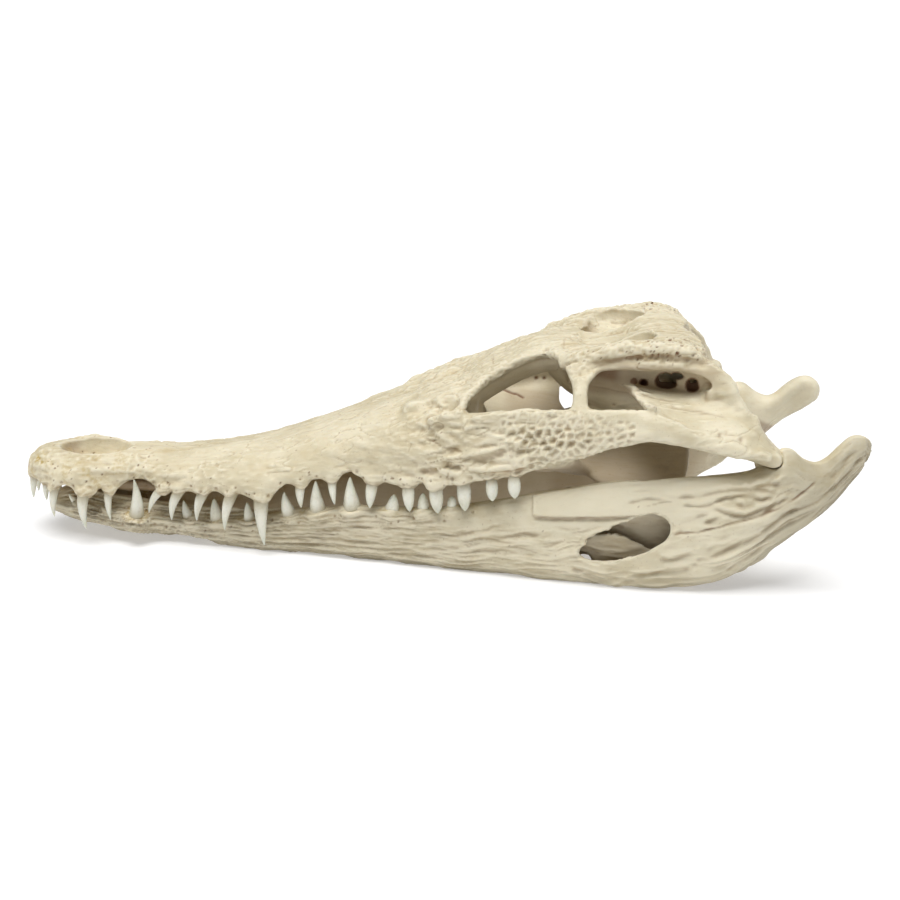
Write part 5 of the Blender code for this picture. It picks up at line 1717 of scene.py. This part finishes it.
def sculptJaw(made, side):
    marks = jawMarks
    random = np.random.default_rng(marks["seeds"][side])
    bone = Surface(made, marks["regions"])
    reach, lows, tops = np.array([(row[0], row[2], row[3]) for row in jawShape["rows"]]).T

    def heightShare():
        low, top = np.interp(bone.x, reach, lows), np.interp(bone.x, reach, tops)
        return (bone.z - low) / (top - low)

    if side > 0:
        bone.share = heightShare()
        bone.points[:, 2] += jawShape["farLift"] * bone.at("farRise")
        movePoints(made, bone.points)
        bone.fresh()
    bone.rough((26, 15, 15), 43, 2, 0.42)
    bone.rough((10, 5, 5), 45, 2, 0.22)
    # the rear bone's ledge
    front = marks["ledgeFront"]
    overLedge = bone.z - np.interp(bone.x, *np.array(marks["ledge"]).T)
    above = ramp(overLedge, -0.35, 0.45)
    ledge = above * ramp(bone.x, front - 0.4, front + 0.4) * ramp(bone.x, 320, 300)
    bone.lift += (ledge * 1.5 - 0.55) * span(bone.x, 235, 330, 14) * bone.outward
    bone.lift -= 0.7 * span(overLedge, -2.4, -0.2, 0.5) * span(bone.x, front, 312, 3) * bone.outward
    bone.press()
    # wrinkles follow the jaw's sweep
    x, outward = bone.x, bone.outward
    share = bone.share = heightShare()
    along = np.concatenate(([0], np.cumsum(np.hypot(np.diff(reach), np.diff((lows + tops) / 2)))))
    turn = 3 if side > 0 else 0
    flow = np.stack([np.interp(x, reach, along), bone.y, share * marks["flow"]], axis=1)
    flow = wavy(flow, (0, 0, 1.8), 14, 46 + turn, bone.points)
    outer = np.maximum(outward, bone.downward) * (0.25 + 0.75 * ramp(x, 16, 34))
    rear = ramp(x, 300, 322)
    fade = outer * (1 - rear) * (1 - 0.88 * bone.at("smoothBand"))  # the band under the rear teeth is smooth
    forward = ramp(x, 190, 100)
    bone.work(marks["fibres"], {
        "streaks": (1.15 + 0.8 * forward) * fade,
        "fine": fade,
        "cracks": (0.25 + 0.3 * forward) * fade,
        "folds": bone.at("folds") * outward,
        "lower": (bone.at("lowRear") + 0.5 * bone.at("lowMiddle")) * outer,
        "rear": outer * rear,
        "hook": bone.at("hook") * outward * (1 - 0.7 * ramp(share, 0.5, 0.8)),
    }, flow, turn)
    bone.rough((4, 3, 4), 66 + turn, 2, 0.6, ramp(x, 396, 406) * bone.upward)
    for lines, rise, depth, width, dark, seed, waver in marks["grooves"]:
        bone.draw(shifted(marks[lines], rise), depth, width, dark, seed=seed + turn, waver=waver)
    # the hook's inner face is dished, inside a round rim
    bone.lift -= 2.4 * bone.at("hookDish") * ramp(-bone.normals[:, 1] * side, *facing["inward"])
    bone.press()
    x, z, outward = bone.x, bone.z, bone.outward
    bone.draw([marks["suture"]], 0.8, 0.75, 0.6, taper=3)
    # painted shadow in the groove under the ledge
    bone.draw(shifted([marks["ledge"][1:]], -1), 0.2, 1, 0.42, taper=3)
    bone.holes(holeRow(random, (reach, tops), (26, 250, 7), 0.7, 2.5, (2.6, 6.5), -1), 0.7, 0.62)
    bone.pores(marks["pores"]["front"], outward * ramp(x, 130, 70))
    bone.pores(marks["pores"]["sides"], outward * ramp(x, 380, 330))
    # the rim of the largest tooth's socket is spongy and stained
    socket = ellipse(x, z, marks["bigSocket"], (1, 1))
    bone.tint("grease", 0.8 * ramp(socket, 8, 4) * ramp(z, 8, 10.5))
    bone.pores(marks["pores"]["socket"], ramp(socket, 10, 6) * ramp(z, 6, 9))
    toothLine = bone.at("toothLine")
    bone.tint("grease", 0.45 * toothLine * ramp(softNoise(bone.points, 5, 87), -0.1, 0.5))
    # colours that follow the bone
    bone.warm += 0.12 + 0.30 * toothLine + 0.3 * ramp(x, 385, 400) + 0.25 * ramp(x, 90, 40)
    bone.warm += 0.20 * span(x, 259, 300, 2) * above
    # painted shade, greyer and darker: the front, which lies under the snout, and the lower edge; the rear end is
    # greyer too
    bone.dull += (0.24 * ramp(x, 300, 150) + 0.42 * ramp(x, 350, 395)) * outward
    bone.dull += 0.30 * ramp(share, 0.20, 0.02) * outward
    bone.pale += (1.4 * bone.at("paleBand") + 0.6 * bone.at("palePatch")) * outward
    inward = ramp(-bone.normals[:, 1] * side, *facing["inward"])
    # painted shade, in brown, on the jaw's inner faces
    bone.tint("stain", (0.34 + 0.2 * span(x, 276, 330, 5)) * inward * ramp(x, 375, 350))
    bone.pale += 0.8 * inward * ramp(x, 380, 392)
    # painted shadow on the lower band of the right half's hook, on its inner face
    if side > 0:
        shaded = ramp(z - 53 + (x - 382) * 0.5, 1.5, -1.5)
        bone.tint("pits", 0.5 * shaded * bone.at("hookShade") * inward)
    # painted shade on the inner wall behind the jaw's window
    flare = (x - jawShape["flareFrom"]) * jawShape["flare"]
    bone.tint("stain", 0.24 * bone.at("insideWindow") * ramp(bone.side, 60 + flare, 57.5 + flare))
    bone.press()
    # the lower edge rests on the floor, and the halves meet without crossing
    bone.points[:, 2] = np.maximum(bone.z, jawShape["restLevel"])
    bone.points[:, 1] = side * np.maximum(bone.y * side, jawShape["halfGap"])
    movePoints(made, bone.points)
    bone.fresh()
    bone.finish(16)


def jawHalf(name, side):
    shape = jawShape
    bodies = [blade(jawRows(), side, sharp=2.5), blade(shape["jointShelf"], side), blade(shape["innerRim"], side)]
    made = toObject("jaw", *bodies, *toothCollars(lowerTeeth, side))
    melt(made, skin["firstVoxel"], 2)
    cutters = [blade(shape["marrow"], side), windowCutter(side)]
    cutters += [ellipsoid(shape[part], side) for part in ("trough", "innerHollow")]
    carve(made, [*cutters, blade(swollen(pairedBlades["quadrate"], shape["seatPlay"]), side)])
    addBodies(made.data, [blade(shape["innerPlate"], side)])
    melt(made, skin["jawVoxel"], 1)
    carve(made, [gapCutter(side)])
    melt(made, skin["voxel"], skin["smoothing"])
    sculptJaw(made, side)
    made.name = made.data.name = "jaw_" + name
    settle(made, jawMaterial, ["jaw_front_" + name, "jaw_rear_" + name])


for name, side in sides.items():
    jawHalf(name, side)
report("lower jaw made")

dentition("teeth_upper", upperTeeth, enamel, ["snout_tip", "snout"])
dentition("teeth_lower", lowerTeeth, enamel, ["jaw_front_left", "jaw_front_right"])

# floor and light
studio = {
    "floorColour": (0.72, 0.72, 0.725, 1),
    "floorGlow": 0.33,
    "floorSize": 40,
    "skyStrength": 0.22,
    "sunFrom": (-0.08, -0.20, 1),
    "sunWidth": 40,
    "sunStrength": 3,
}


def makeStudio(values):
    mesh = bmesh.new()
    bmesh.ops.create_grid(mesh, x_segments=2, y_segments=2, size=values["floorSize"])
    floor = toObject("floor", mesh)
    paper = bpy.data.materials.new("pale floor")
    paper.use_nodes = True
    setInputs(paper.node_tree.nodes["Principled BSDF"], {
        "Base Color": values["floorColour"],
        "Roughness": 0.9,
        "Specular IOR Level": 0.1,
        "Emission Color": (1, 1, 1, 1),
        "Emission Strength": values["floorGlow"],
    })
    floor.data.materials.append(paper)
    data = bpy.data.lights.new("soft sun", "SUN")
    data.angle = math.radians(values["sunWidth"])
    data.energy = values["sunStrength"]
    light = linkObject("soft sun", data)
    light.rotation_euler = Vector(values["sunFrom"]).to_track_quat("Z", "Y").to_euler()
    world = bpy.data.worlds.new("soft sky")
    world.use_nodes = True
    setInputs(world.node_tree.nodes["Background"], {"Color": (1, 1, 1, 1), "Strength": values["skyStrength"]})
    bpy.context.scene.world = world
    bpy.context.scene.view_settings.view_transform = "Standard"


makeStudio(studio)
report("studio made")
